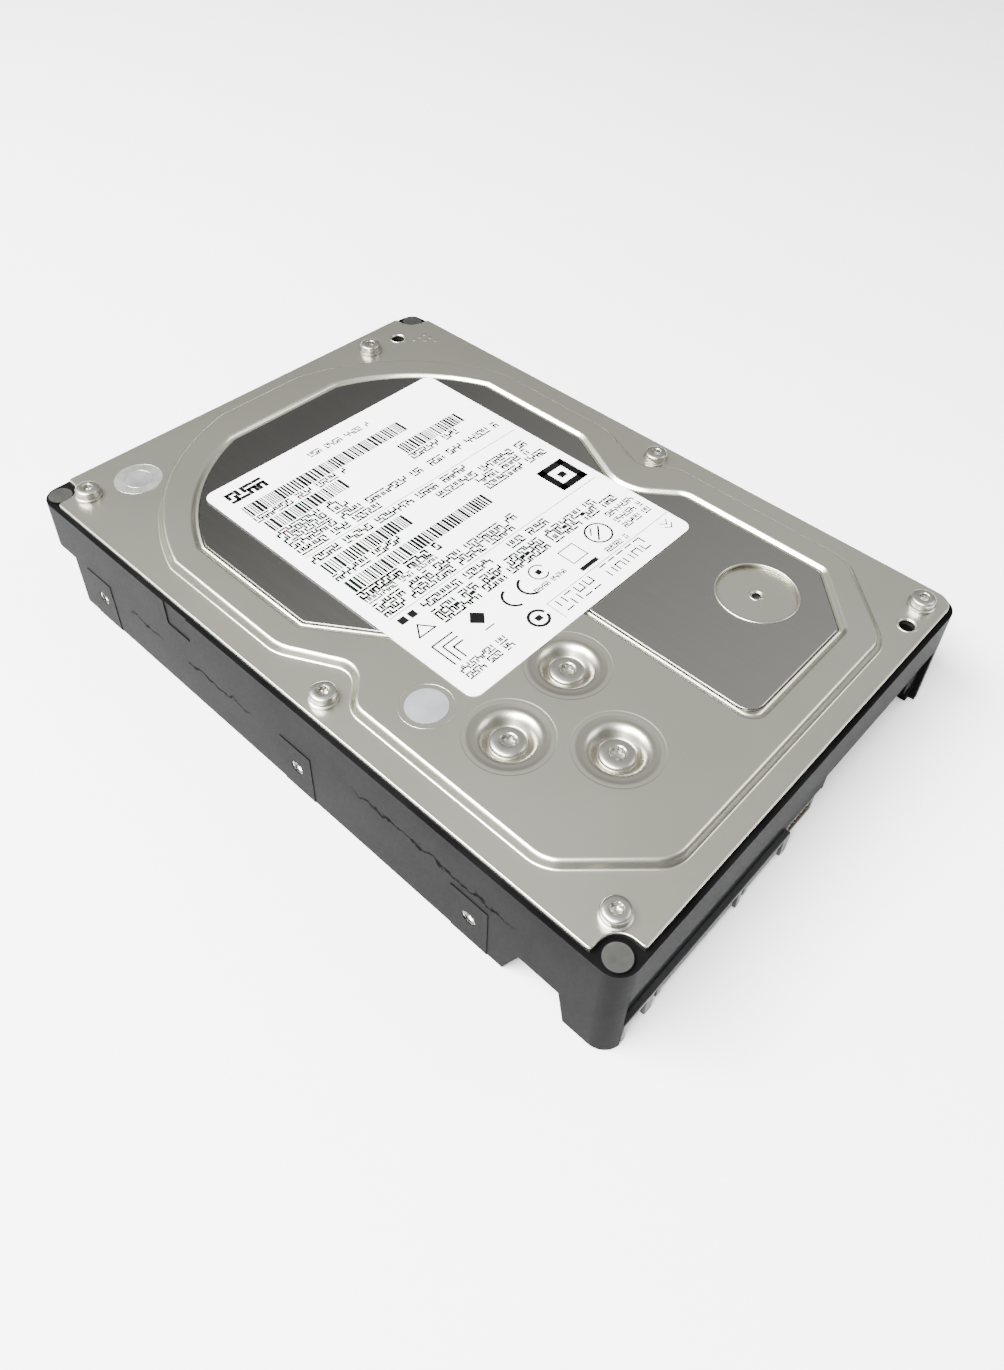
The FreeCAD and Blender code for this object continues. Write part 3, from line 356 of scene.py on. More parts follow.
def board_material():
    """Green solder mask with darker laminate patches and fine parallel tracks under it."""
    material, tree, shader, place = start_material("solder_mask")
    axes = node(tree, "ShaderNodeSeparateXYZ", {"Vector": place}).outputs
    tone = noise(tree, place, 45.0, 2.0)
    cells = node(tree, "ShaderNodeTexVoronoi", {"Vector": place, "Scale": 95.0}, feature="F1",
                 distance="CHEBYCHEV")
    pick = node(tree, "ShaderNodeSeparateColor", {"Color": cells.outputs["Color"]}).outputs[0]
    runs = []
    for axis in ("X", "Y"):
        wave = node(tree, "ShaderNodeMath", {0: axes[axis], 1: 1 / 0.0009}, operation="MULTIPLY").outputs[0]
        wave = node(tree, "ShaderNodeMath", {0: wave, 1: 1.0}, operation="PINGPONG").outputs[0]
        runs.append(spread(tree, wave, 0, 1, 0.42, 0.5))
    across = node(tree, "ShaderNodeMath", {0: pick, 1: 0.55}, operation="GREATER_THAN").outputs[0]
    chosen = node(tree, "ShaderNodeMix", {0: across, 2: runs[0], 3: runs[1]}).outputs[0]
    routed = node(tree, "ShaderNodeMath", {0: pick, 1: 0.22}, operation="GREATER_THAN").outputs[0]
    tracks = node(tree, "ShaderNodeMath", {0: chosen, 1: routed}, operation="MULTIPLY").outputs[0]
    mask = blended(tree, spread(tree, tone, 0, 1), (0.006, 0.045, 0.020), (0.010, 0.062, 0.028))
    tree.links.new(blended(tree, tracks, mask, (0.022, 0.125, 0.055)), shader.inputs["Base Color"])
    tree.links.new(spread(tree, tone, 0.28, 0.40), shader.inputs["Roughness"])
    bump(tree, shader, tracks, 0.02)
    return material


def film_material(name, colour, clear, rough):
    """A thin translucent film with faint clouding."""
    material, tree, shader, place = start_material(name)
    cloud = noise(tree, place, 320.0, 3.0)
    tint = tuple(min(1, part * 1.12) for part in colour)
    tree.links.new(blended(tree, spread(tree, cloud, 0, 1), colour, tint), shader.inputs["Base Color"])
    tree.links.new(spread(tree, cloud, rough * 0.8, rough * 1.3), shader.inputs["Roughness"])
    tree.links.new(spread(tree, cloud, 1 - clear, 1 - clear * 0.8), shader.inputs["Alpha"])
    bump(tree, shader, cloud, 0.004)
    return material


def cover_material():
    """Satin stainless sheet: soft waves in the light, and painted shade in a darker ring of colour round each
    dimple.
    """
    material, tree, shader, place = start_material("cover_steel")
    axes = node(tree, "ShaderNodeSeparateXYZ", {"Vector": place}).outputs
    tone = noise(tree, place, 30.0, 2.0)
    fine = noise(tree, place, 5200.0, 2.0, (1, 0.6, 1))
    steel = blended(tree, spread(tree, tone, 0, 1), (0.490, 0.478, 0.405), (0.530, 0.518, 0.442))
    # painted shade: a ring round each dimple, about 5.4 to 6.9 mm out, gets a darker colour than the rest of the
    # sheet
    painted_ring_shade = node(tree, "ShaderNodeMath", {0: within(tree, axes, DIMPLES, 6.7, 7.0),
                                               1: within(tree, axes, DIMPLES, 5.2, 5.6)},
                      operation="SUBTRACT").outputs[0]
    tree.links.new(blended(tree, painted_ring_shade, steel, (0.365, 0.355, 0.300)), shader.inputs["Base Color"])
    tree.links.new(spread(tree, fine, 0.29, 0.31), shader.inputs["Roughness"])
    shader.inputs["Metallic"].default_value = 1.0
    waves = noise(tree, place, 38.0, 1.0)
    bump(tree, shader, waves, 0.10)
    return material


def damper_material():
    """Dark half-mirror steel with a painted reflection that makes it a little lighter towards the connector end,
    and faint lengthwise polish.
    """
    material, tree, shader, place = start_material("damper_steel")
    axes = node(tree, "ShaderNodeSeparateXYZ", {"Vector": place}).outputs
    polish = noise(tree, place, 1800.0, 3.0, (1, 0.04, 1))
    # painted reflection: the colour lightens along Y from the far end towards the connector end
    painted_reflection_ramp = spread(tree, axes["Y"], 1, 0, -0.060, 0.055)
    steel = blended(tree, painted_reflection_ramp, (0.135, 0.134, 0.126), (0.34, 0.33, 0.305))
    tree.links.new(steel, shader.inputs["Base Color"])
    tree.links.new(spread(tree, polish, 0.20, 0.24), shader.inputs["Roughness"])
    shader.inputs["Metallic"].default_value = 1.0
    bump(tree, shader, noise(tree, place, 30.0, 1.0), 0.12)
    return material


STEEL_GRAIN = (1, 0.06, 1)
MATERIALS = {
    "cast_black": casting_material(),
    "gasket_rubber": surface("gasket_rubber", (0.006, 0.006, 0.006), (0.012, 0.012, 0.012), (0.45, 0.6)),
    "cover_steel": cover_material(),
    "damper_steel": damper_material(),
    "label_film": surface("label_film", (0.93, 0.93, 0.925), (0.95, 0.95, 0.948), (0.42, 0.52), 0.0,
                          grain=1500.0, relief=0.0016, patches=70.0),
    "seal_film": film_material("seal_film", (0.22, 0.23, 0.235), 0.88, 0.30),
    "screw_steel": surface("screw_steel", (0.33, 0.32, 0.29), (0.38, 0.37, 0.33), (0.30, 0.34), 1.0,
                           grain=2600.0, relief=0.0001, patches=400.0),
    "filter_housing": surface("filter_housing", (0.04, 0.04, 0.045), (0.06, 0.06, 0.065), (0.5, 0.65)),
    "filter_cloth": surface("filter_cloth", (0.70, 0.70, 0.67), (0.84, 0.84, 0.82), (0.8, 0.95), 0.0,
                            grain=2400.0, relief=0.06, patches=260.0),
    "bearing_bronze": surface("bearing_bronze", (0.42, 0.25, 0.11), (0.54, 0.34, 0.17), (0.30, 0.45), 1.0),
    "plain_steel": surface("plain_steel", (0.42, 0.42, 0.42), (0.52, 0.52, 0.52), (0.18, 0.30), 1.0,
                           grain=2500.0, relief=0.002, stretch=(1, 1, 0.05)),
    "bearing_steel": surface("bearing_steel", (0.60, 0.60, 0.62), (0.70, 0.70, 0.72), (0.05, 0.10), 1.0),
    "core_steel": surface("core_steel", (0.10, 0.10, 0.11), (0.17, 0.17, 0.18), (0.40, 0.55), 1.0,
                          grain=3800.0, relief=0.02, stretch=(0.05, 0.05, 1)),
    "copper_wire": surface("copper_wire", (0.42, 0.16, 0.06), (0.62, 0.27, 0.11), (0.22, 0.38), 1.0,
                           grain=3600.0, relief=0.05, stretch=(0.08, 0.08, 1)),
    "amber_film": surface("amber_film", (0.36, 0.15, 0.02), (0.50, 0.23, 0.04), (0.18, 0.30), 0.0,
                          grain=1200.0, relief=0.004, patches=140.0),
    "bare_aluminium": surface("bare_aluminium", (0.58, 0.58, 0.59), (0.68, 0.68, 0.69), (0.26, 0.38), 1.0,
                              grain=2600.0, relief=0.003, stretch=(1, 1, 0.08)),
    "magnet_coat": surface("magnet_coat", (0.09, 0.09, 0.095), (0.14, 0.14, 0.145), (0.45, 0.6), 0.6),
    "disk_mirror": surface("disk_mirror", (0.66, 0.66, 0.65), (0.70, 0.70, 0.69), (0.03, 0.05), 1.0,
                           grain=5000.0, relief=0.0001),
    "frame_plastic": surface("frame_plastic", (0.014, 0.014, 0.016), (0.026, 0.026, 0.028), (0.30, 0.42)),
    "flexure_steel": surface("flexure_steel", (0.52, 0.52, 0.51), (0.62, 0.62, 0.61), (0.16, 0.26), 1.0,
                             grain=3000.0, relief=0.001, stretch=(1, 0.08, 1)),
    "slider_ceramic": surface("slider_ceramic", (0.020, 0.020, 0.022), (0.035, 0.035, 0.038), (0.3, 0.4)),
    "chip_epoxy": surface("chip_epoxy", (0.010, 0.010, 0.011), (0.018, 0.018, 0.019), (0.50, 0.68), 0.0,
                          grain=3200.0, relief=0.010),
    "bracket_metal": surface("bracket_metal", (0.50, 0.50, 0.51), (0.62, 0.62, 0.63), (0.28, 0.40), 1.0,
                             stretch=STEEL_GRAIN),
    "yoke_nickel": surface("yoke_nickel", (0.48, 0.46, 0.42), (0.58, 0.56, 0.52), (0.12, 0.22), 1.0,
                           grain=1500.0, relief=0.003),
    "stop_rubber": surface("stop_rubber", (0.010, 0.010, 0.010), (0.020, 0.020, 0.020), (0.6, 0.8)),
    "ramp_polymer": surface("ramp_polymer", (0.58, 0.52, 0.40), (0.66, 0.60, 0.48), (0.28, 0.40)),
    "board_green": board_material(),
    "pad_foam": surface("pad_foam", (0.045, 0.045, 0.05), (0.075, 0.075, 0.08), (0.8, 0.95), 0.0,
                        grain=1800.0, relief=0.08),
    "connector_black": surface("connector_black", (0.009, 0.009, 0.010), (0.016, 0.016, 0.017), (0.38, 0.52),
                               grain=1800.0, relief=0.006),
    "contact_gold": surface("contact_gold", (0.60, 0.38, 0.10), (0.72, 0.48, 0.15), (0.18, 0.30), 1.0),
}
INK = surface("label_ink", (0.002, 0.002, 0.002), (0.005, 0.005, 0.005), (0.75, 0.85), 0.0, grain=3500.0,
              relief=0.001, IOR=1.12)
THREAD = surface("cut_thread", (0.42, 0.42, 0.40), (0.62, 0.62, 0.60), (0.22, 0.36), 1.0, grain=2400.0,
                 relief=0.004)

STEP_FILM = film_material("grey_seal_film", (0.17, 0.175, 0.185), 0.20, 0.42)
SOLDER = surface("solder_and_tin", (0.55, 0.55, 0.54), (0.70, 0.70, 0.69), (0.20, 0.36), 1.0, grain=3000.0,
                 relief=0.004)
PIN_MARK = surface("moulded_mark", (0.035, 0.035, 0.037), (0.05, 0.05, 0.052), (0.25, 0.35), 0.0)

for name, item in NODES.items():
    item.material_slots[0].material = MATERIALS[SLOT_OF[name]]


# ------------------------------------------------------------------ cover

def step_outline():
    """Edge of the cover's raised part, at the foot of its slope."""
    side, near, radius = 45.1, 68.3, 47.1
    path = [(-38.4, -6.4, 4.2), (-side + 0.2, -12.4, 5), (-side, -54.1, 7), (-31.4, -near, 7),
            (30.4, -near, 7), (side, -52.6, 7), (side, -12.6, 5), (39.9, -6.2, 4.4), (side, 6.5, 9)]
    path += arc(SPINDLE, radius, 16.8, 77.6)
    path += arc(SPINDLE, radius, 102.4, 163.2)
    path += [(-side, 6.5, 9)]
    return rounded(path)


def recess_outline():
    """Edge of the sunk field, at the top of its bevel."""
    split, near, side, radius = 1.8, 62.2, 39.2, 42.3
    middle = (0, 20.5)
    path = [(-split, -near, 3.4), (27.6, -near, 2.4), (side, -51, 2.4), (side, -18.5, 5), (30.9, -8.3, 9),
            (side, 8.4, 6)]
    path += arc(middle, radius, 22.1, 70.7)
    path += arc(middle, radius, 109.3, 157.9)
    path += [(-side, 7.6, 2), (-24, -14.5, 4), (-split, -14.5, 4)]
    return rounded(path)


def cover_outline(inset=0.0):
    """The cover's edge: one rounded corner, and three with a rounded notch round a pad."""
    x, y, notch = 49.9 - inset, 72.6 - inset, 5.45
    pocket = 3.6 + inset
    path = [(x, -y, 3.4 - inset)]
    for sx, sy in ((1, 1), (-1, 1), (-1, -1)):
        side = (sx * x, sy * (y - notch), 0.5)
        inner = (sx * (x - notch), sy * (y - notch), pocket)
        end = (sx * (x - notch), sy * y, 0.5)
        path += [side, inner, end] if sx * sy > 0 else [end, inner, side]
    return rounded(path)


RISE = Slope(-0.50, -0.05, 0.35, 1.15)      # the step, from the foot inwards
SINK = Slope(-0.45, 0.05, 0.42, 0.68)      # the bevel round the sunk field
BEAD = Slope(0.68, 0.80, 1.00, 1.12)       # up again to the damper plate's edge
DROP = Slope(1.15, 1.18, 1.28, 1.32)       # down to the floor under the damper plate
DISH = Slope(3.15, 3.60, 4.20, 5.70)       # round a sunk screw, from its head outwards
COIN = Slope(5.9, 6.3, 6.8, 7.2)           # edge of the pressed ring round a dimple
LIP = Slope(7.55, 7.65, 7.75, 7.85)
SINK_DEPTH = 0.5
BEAD_RISE = 0.16
COIN_DEPTH = 0.15
LIP_DEPTH = 0.06
SUNK_HEAD = 0.95                           # how far a head stands out of its dimple
DISH_DEPTH = STEP - (corner("pivot_screw", 1).z - SUNK_HEAD) - COIN_DEPTH - LIP_DEPTH


def cover_height(points):
    """Height of the cover's top face at each point, and how it changes along X and Y."""
    height = np.full(len(points), FLANGE)
    tilt = np.zeros_like(points)
    inside, inward = distance(points, step_outline())
    share, rate = RISE(inside)
    height += (STEP - FLANGE) * share
    tilt += ((STEP - FLANGE) * rate)[:, None] * inward
    inside, inward = distance(points, recess_outline())
    for slope, depth in ((SINK, SINK_DEPTH + BEAD_RISE), (BEAD, -BEAD_RISE),
                         (DROP, STEP - RECESS - SINK_DEPTH)):
        share, rate = slope(inside)
        height -= depth * share
        tilt -= (depth * rate)[:, None] * inward
    for middle in DIMPLES:
        offset = points - np.array(middle)
        radius = np.maximum(np.sqrt((offset ** 2).sum(1)), 1e-6)
        for slope, depth in ((DISH, DISH_DEPTH), (COIN, COIN_DEPTH), (LIP, LIP_DEPTH)):
            share, rate = slope(radius)
            height -= depth * (1 - share)
            tilt += (depth * rate / radius)[:, None] * offset
    return height, tilt


def moved_in(outline, level):
    """A counterclockwise outline moved inwards by a level."""
    loop = np.asarray(outline, float)
    ahead = np.roll(loop, -1, 0) - loop
    ahead /= np.linalg.norm(ahead, axis=1)[:, None]
    turned = np.stack((-ahead[:, 1], ahead[:, 0]), 1)
    inward = turned + np.roll(turned, 1, 0)
    return loop + inward * (2 * level / (inward ** 2).sum(1))[:, None]


def round_loop(middle, radius, step):
    return np.array(arc(middle, radius, 0, 360, step)[:-1])


ROLL = 0.24                                # radius of the sheet's rounded edges
HOLE_STEP = 10                             # degrees between the points of a small hole
CUT_OUTS = [(middle, 1.4) for middle in EDGE_SCREWS] + [(middle, 1.65) for middle in EDGE_HOLES]
CUT_OUTS += [(middle, 1.8) for middle in DIMPLES] + [(BREATHER, 1.05)]


def cover_loops():
    """Closed lines that the cover's mesh follows: its edge, its holes, and the contours of every slope."""
    loops = [np.array(cover_outline(ROLL))]
    loops += [round_loop(middle, radius, HOLE_STEP) for middle, radius in CUT_OUTS]
    for outline, slopes in ((step_outline(), (RISE,)), (recess_outline(), (SINK, BEAD, DROP))):
        for slope in slopes:
            loops += [moved_in(outline, level) for level in slope.contours]
    for middle in DIMPLES:
        for slope in (DISH, COIN, LIP):
            loops += [round_loop(middle, radius, 4) for radius in slope.contours]
    return loops


def off_sheet(spot):
    """The level direction that leads off the sheet at a vertex of its edge."""
    total = Vector((0, 0))
    for edge in spot.link_edges:
        if edge.is_boundary:
            along = (edge.verts[1].co - edge.verts[0].co).xy.normalized()
            side = Vector((along.y, -along.x))
            inwards = edge.link_faces[0].calc_center_median().xy - spot.co.xy
            total += side if side.dot(inwards) < 0 else -side
    return total.normalized()


def cover():
    """The stamped cover as one closed sheet with rolled edges."""
    loops = cover_loops()
    edges = []
    start = 0
    for loop in loops:
        edges += [(start + i, start + (i + 1) % len(loop)) for i in range(len(loop))]
        start += len(loop)
    level, _, triangles, *_ = delaunay_2d_cdt([Vector(point) for loop in loops for point in loop], edges, [],
                                              0, 1e-5)
    level = np.array([tuple(spot) for spot in level])
    centres = level[np.array(triangles)].mean(1)
    kept = distance(centres, loops[0])[0] > 0
    for middle, radius in CUT_OUTS:
        gap = np.linalg.norm(centres - np.array(middle), axis=1)
        kept &= gap > radius * math.cos(math.radians(HOLE_STEP / 2))
    height, tilt = cover_height(level)

    form = bmesh.new()
    placed = [form.verts.new((x, y, z)) for (x, y), z in zip(level, height)]
    lean = {spot: (-x, -y, 1) for spot, (x, y) in zip(placed, tilt)}
    for index in np.flatnonzero(kept):
        form.faces.new([placed[which] for which in triangles[index]])
    bmesh.ops.delete(form, geom=[spot for spot in form.verts if not spot.link_faces], context="VERTS")
    form.verts.index_update()
    points = [tuple(spot.co) for spot in form.verts]
    faces = [[spot.index for spot in face.verts] for face in form.faces]
    normals = [lean[spot] for spot in form.verts]
    below = len(points)
    points += [(x, y, z - SHEET) for x, y, z in points]
    faces += [[below + index for index in reversed(face)] for face in faces]
    normals += [(-x, -y, -1) for x, y, _ in normals]

    ring_of = {}
    for spot in [spot for spot in form.verts if spot.is_boundary]:
        (x, y, z), (out_x, out_y) = spot.co, off_sheet(spot)
        first = len(points)
        for turn in (math.radians(30), math.radians(60), math.radians(90)):
            reach, drop = ROLL * math.sin(turn), ROLL * (1 - math.cos(turn))
            points.append((x + out_x * reach, y + out_y * reach, z - drop))
            normals.append((out_x * math.sin(turn), out_y * math.sin(turn), math.cos(turn)))
        points.append((x + out_x * ROLL, y + out_y * ROLL, z - SHEET))
        normals.append((out_x, out_y, 0))
        ring_of[spot.index] = [spot.index, *range(first, first + 4), below + spot.index]
    for border in [edge for edge in form.edges if edge.is_boundary]:
        loop = border.link_loops[0]
        here, there = ring_of[loop.vert.index], ring_of[loop.link_loop_next.vert.index]
        for step in range(len(here) - 1):
            faces.append([here[step], here[step + 1], there[step + 1], there[step]])
    form.free()
    lengths = np.linalg.norm(np.array(normals), axis=1)[:, None]
    piece = solid("stamped_cover", points, faces, MATERIALS["cover_steel"],
                  normals=(np.array(normals) / lengths).tolist())
    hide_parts("top_cover")


cover()


# ------------------------------------------------------------------ CAD shapes with rounded edges

def bevelled(source, width, name, sharp=40, segments=2):
    """A copy of a CAD node with its edges rounded, in the node's own material."""
    form = bmesh.new()
    form.from_mesh(NODES[source].data)
    bmesh.ops.remove_doubles(form, verts=form.verts, dist=0.002 * MM)
    bmesh.ops.dissolve_limit(form, angle_limit=math.radians(0.5), verts=form.verts, edges=form.edges)
    mesh = bpy.data.meshes.new(name)
    form.to_mesh(mesh)
    form.free()
    piece = bpy.data.objects.new(name, mesh)
    bpy.context.scene.collection.objects.link(piece)
    rounding = piece.modifiers.new("rounding", "BEVEL")
    rounding.width = width * MM
    rounding.segments = segments
    rounding.limit_method = "ANGLE"
    rounding.angle_limit = math.radians(sharp)
    rounding.miter_outer = "MITER_ARC"
    rounding.harden_normals = True
    weights = piece.modifiers.new("weights", "WEIGHTED_NORMAL")
    weights.keep_sharp = True
    mesh.polygons.foreach_set("use_smooth", [True] * len(mesh.polygons))
    mesh.set_sharp_from_angle(angle=math.radians(sharp))
    shaped = bpy.data.meshes.new_from_object(piece.evaluated_get(bpy.context.evaluated_depsgraph_get()))
    piece.modifiers.clear()
    piece.data = shaped
    shaped.name = name
    shaped.materials.clear()
    shaped.materials.append(NODES[source].material_slots[0].material)
    body = next(key for key, members in BODIES.items() if source in members)
    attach(piece, body)
    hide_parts(source)
    return piece


bevelled("base_casting", 0.3, "cast_base")
bevelled("cover_gasket", 0.18, "gasket_bead")
bevelled("damper_plate", 0.2, "damper_sheet", segments=3)
bevelled("drive_connector", 0.12, "connector_body", segments=1)
bevelled("jumper_header", 0.12, "jumper_body", segments=1)
for chip in ("controller_chip", "memory_chip", "motor_driver_chip"):
    bevelled(chip, 0.12, chip + "_package")


# ------------------------------------------------------------------ screws and threads

def circle(x, y, radius, z, lobes=0.0, count=48):
    """A level loop; lobes is the depth of six rounded lobes, as a share of the radius."""
    loop = []
    for i in range(count):
        angle = 2 * math.pi * i / count
        reach = radius * (1 - lobes * (1 + math.cos(6 * angle)) / 2)
        loop.append((x + reach * math.cos(angle), y + reach * math.sin(angle), z))
    return loop


def screw(bits, x, y, tip, top, head, rise, shank, way=1, foot=0.0):
    """A pan screw with a six-lobed socket. The way is 1 for a head on top and -1 for a head below."""
    seat = top - way * rise
    dome, crown = head * 0.42, 0.45
    profile = [(shank * 0.7, tip), (shank, tip + way * 0.5), (shank, seat), (head, seat),
               (head + foot, seat + way * 0.08), (head + foot, seat + way * 0.3), (head, seat + way * 0.42),
               (head, top - way * crown)]
    profile += [(head - dome * (1 - math.cos(a)), top - way * crown * (1 - math.sin(a)))
                for a in (math.radians(turn) for turn in (20, 40, 60, 75, 90))]
    profile += [(head * 0.50, top - way * 0.01), (head * 0.47, top - way * 0.10)]
    loops = [circle(x, y, radius, z) for radius, z in profile]
    for radius, sunk in ((0.45, 0.15), (0.43, 0.24), (0.41, 0.95), (0.20, 1.15)):
        loops.append(circle(x, y, head * radius, top - way * sunk, 0.20))
    bits.rings(loops)


def screw_set(name, source, places, head, rise, shank, way=1, foot=0.0):
    bits = Bits()
    for x, y in places:
        tip, top = corner(source, 0).z, corner(source, 1).z
        screw(bits, x, y, *((tip, top) if way > 0 else (top, tip)), head, rise, shank, way, foot)
    piece = bits.made(name, MATERIALS["screw_steel"], sharp=35)
    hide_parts(source)


EDGE_HEAD = EDGE_SCREWS[2][0] - corner("cover_screws", 0).x
SUNK_RADIUS = PIVOT.x - corner("pivot_screw", 0).x
BOARD_SCREWS = ((-40.0, -64.5), (40.0, -63.5), (-40.5, 0.0), (40.5, 0.0), (0.0, -20.0))
screw_set("cover_screw_set", "cover_screws", EDGE_SCREWS, EDGE_HEAD, corner("cover_screws", 1).z - FLANGE, 1.2,
          foot=0.3)
screw_set("pivot_screw_set", "pivot_screw", DIMPLES[:1], SUNK_RADIUS, SUNK_HEAD, 1.6)
screw_set("yoke_screw_set", "yoke_screws", DIMPLES[1:], SUNK_RADIUS, SUNK_HEAD, 1.6)
screw_set("board_screw_set", "board_screws", BOARD_SCREWS, 1.9, 1.1, 1.2, way=-1)


def thread(bits, mouth, inward, length):
    """The wall of a tapped hole: a closed tube whose inside follows a helical ridge."""
    pitch, bore, ridge, wall = 0.794, 1.36, 0.20, 1.46
    inward = Vector(inward)
    side = inward.orthogonal().normalized()
    up = inward.cross(side)
    around = 24
    rows = math.ceil(length / pitch * 6)
    loops = []
    for row in range(rows + 1):
        deep = 0.12 + (length - 0.2) * row / rows
        loop = []
        for i in range(around):
            angle = 2 * math.pi * i / around
            phase = (deep / pitch - i / around) % 1
            reach = bore - ridge * max(0.0, 1 - abs(phase - 0.5) / 0.42)
            loop.append(mouth + inward * deep + (side * math.cos(angle) + up * math.sin(angle)) * reach)
        loops.append(loop)
    for deep in (length - 0.08, 0.12):
        loops.append([mouth + inward * deep + (side * math.cos(2 * math.pi * i / around)
                                               + up * math.sin(2 * math.pi * i / around)) * wall
                      for i in range(around)])
    points = [tuple(point) for loop in loops for point in loop]
    faces = []
    for row in range(len(loops)):
        other = (row + 1) % len(loops)
        for i in range(around):
            j = (i + 1) % around
            faces.append((row * around + i, row * around + j, other * around + j, other * around + i))
    bits.add(points, faces)


def mounting_threads():
    bits = Bits()
    for mount in frame["record"]["mounts"]:
        mouth = Vector(mount["pos_m"]) / MM
        inward = -Vector(mount["axis"])
        if mount["kind"] == "threaded_hole":
            thread(bits, mouth, inward, mount["dims"]["length_mm"])
        elif mount["kind"] == "bolt_pattern":
            half_x = mount["dims"]["spacing_x_mm"] / 2
            half_y = mount["dims"].get("spacing_y_mm", 0) / 2
            for place in {(sx * half_x, sy * half_y) for sx in (-1, 1) for sy in (-1, 1)}:
                thread(bits, mouth + Vector((*place, 0)), inward, 4.2)
    piece = bits.made("mounting_threads", THREAD, sharp=40)


mounting_threads()


# ------------------------------------------------------------------ small things on the cover

def bead(bits, middle, radius, thick, level, around=72, section=10, flat=1.0):
    """A closed ring of round section that lies at a level."""
    loops = []
    for i in range(around):
        angle = 2 * math.pi * i / around
        loops.append([(middle[0] + (radius + thick * math.cos(2 * math.pi * k / section)) * math.cos(angle),
                       middle[1] + (radius + thick * math.cos(2 * math.pi * k / section)) * math.sin(angle),
                       level + flat * thick * math.sin(2 * math.pi * k / section)) for k in range(section)])
    points = [point for loop in loops for point in loop]
    faces = []
    for row in range(around):
        other = (row + 1) % around
        for k in range(section):
            j = (k + 1) % section
            faces.append((row * section + k, row * section + j, other * section + j, other * section + k))
    bits.add(points, faces)


def cover_trim():
    """Rims of the holes, the rolled edge round the breather, and the stamped pips in a corner."""
    rims = Bits()
    for middle in EDGE_HOLES:
        bead(rims, middle, 1.78, 0.2, FLANGE, flat=0.7)
    bead(rims, BREATHER, 7.75, 0.26, PLATE, flat=0.8)
    bead(rims, BREATHER, 1.25, 0.18, RECESS, flat=0.6)
    for column, row in ((0, 0), (1, 0), (2, 0), (1, 1), (2, 1), (2, 2)):
        x, y = 41.2 + 1.7 * column, 62.6 - 1.9 * row
        rims.rings([circle(x, y, 0.5, FLANGE - 0.05, count=20), circle(x, y, 0.5, FLANGE + 0.02, count=20),
                    circle(x, y, 0.38, FLANGE + 0.07, count=20)])
    piece = rims.made("cover_trim", MATERIALS["cover_steel"], sharp=40)


def seals():
    """Two round films. Each sinks a little into the hole that it closes, and shows that hole's edge."""
    edge_top = FLANGE + 0.12
    step_top = STEP + 0.12
    for name, middle, radius, hole, top in (("edge_seal", EDGE_SEAL, 4.7, 2.75, edge_top),
                                            ("step_seal", STEP_SEAL, 3.7, 0.0, step_top)):
        bits = Bits()
        profile = [(radius - 0.05, top - 0.115), (radius, top - 0.08), (radius - 0.04, top - 0.02),
                   (radius - 0.12, top)]
        if hole:
            profile += [(hole + 0.35, top), (hole + 0.12, top + 0.03), (hole - 0.1, top - 0.03),
                        (hole - 0.4, top - 0.06)]
        bits.rings([circle(*middle, reach, z, count=72) for reach, z in profile])
        piece = bits.made(name, MATERIALS["seal_film"] if hole else STEP_FILM, sharp=40)
        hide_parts("seal_stickers")
    rings = Bits()
    for middle, radius, thick, top in ((STEP_SEAL, 4.7, 0.07, STEP), (EDGE_SEAL, 4.75, 0.07, FLANGE),
                                       (EDGE_SEAL, 2.75, 0.12, FLANGE)):
        bead(rings, middle, radius, thick, top, flat=0.6)
    piece = rings.made("seal_ring", MATERIALS["cover_steel"], sharp=40)


cover_trim()
seals()


# ------------------------------------------------------------------ label print

PRINT_THICK = 0.018
# Seven strokes on a two by one grid, as ends (x, y) in glyph units.
STROKES = {"a": ((0, 2), (1, 2)), "b": ((1, 2), (1, 1)), "c": ((1, 1), (1, 0)), "d": ((0, 0), (1, 0)),
           "e": ((0, 1), (0, 0)), "f": ((0, 2), (0, 1)), "g": ((0, 1), (1, 1))}
# Combinations that are neither letters nor digits.
GLYPHS = ("abed", "afcd", "fgc", "bge", "ace", "bdf", "agce", "fbd", "aecg", "dbfg")
luck = random.Random(31)


def stroke(bits, x0, y0, x1, y1, wide):
    """A straight stroke of ink with square ends."""
    along = Vector((x1 - x0, y1 - y0)).normalized() * (wide / 2)
    across = Vector((-along.y, along.x))
    ends = [Vector((x0, y0)) - along, Vector((x1, y1)) + along]
    outline = [ends[0] - across, ends[1] - across, ends[1] + across, ends[0] + across]
    bits.prism([tuple(point) for point in outline], LABEL, LABEL + PRINT_THICK)


def text(bits, first, last, y, tall=1.65, wide=0.22):
    """Unreadable print along a line, in words of stroke glyphs."""
    across = tall * 0.52
    pitch = tall * 0.84
    x = first + across / 2
    left = luck.randint(3, 8)
    while x + across / 2 <= last + 0.2:
        if left:
            for name in luck.choice(GLYPHS):
                (ax, ay), (bx, by) = STROKES[name]
                stroke(bits, x + (ax - 0.5) * across, y + (ay - 1) * tall / 2,
                       x + (bx - 0.5) * across, y + (by - 1) * tall / 2, wide)
            left -= 1
        else:
            left = luck.randint(3, 8)
        x += pitch


def barcode(bits, first, last, low, high):
    x = first
    while x < last - 0.5:
        bar = luck.choice((0.30, 0.30, 0.50, 0.68))
        bits.block(x, x + bar, low, high, LABEL, LABEL + PRINT_THICK)
        x += bar + luck.choice((0.20, 0.20, 0.36))


def ring(bits, x, y, radius, wide, first=0, last=360):
    """A ring or part of a ring of ink."""
    outer = arc((x, y), radius, first, last, 8)
    inner = arc((x, y), radius - wide, last, first, 8)
    for i in range(len(outer) - 1):
        quad = [outer[i], outer[i + 1], inner[-2 - i], inner[-1 - i]]
        bits.prism(quad, LABEL, LABEL + PRINT_THICK)


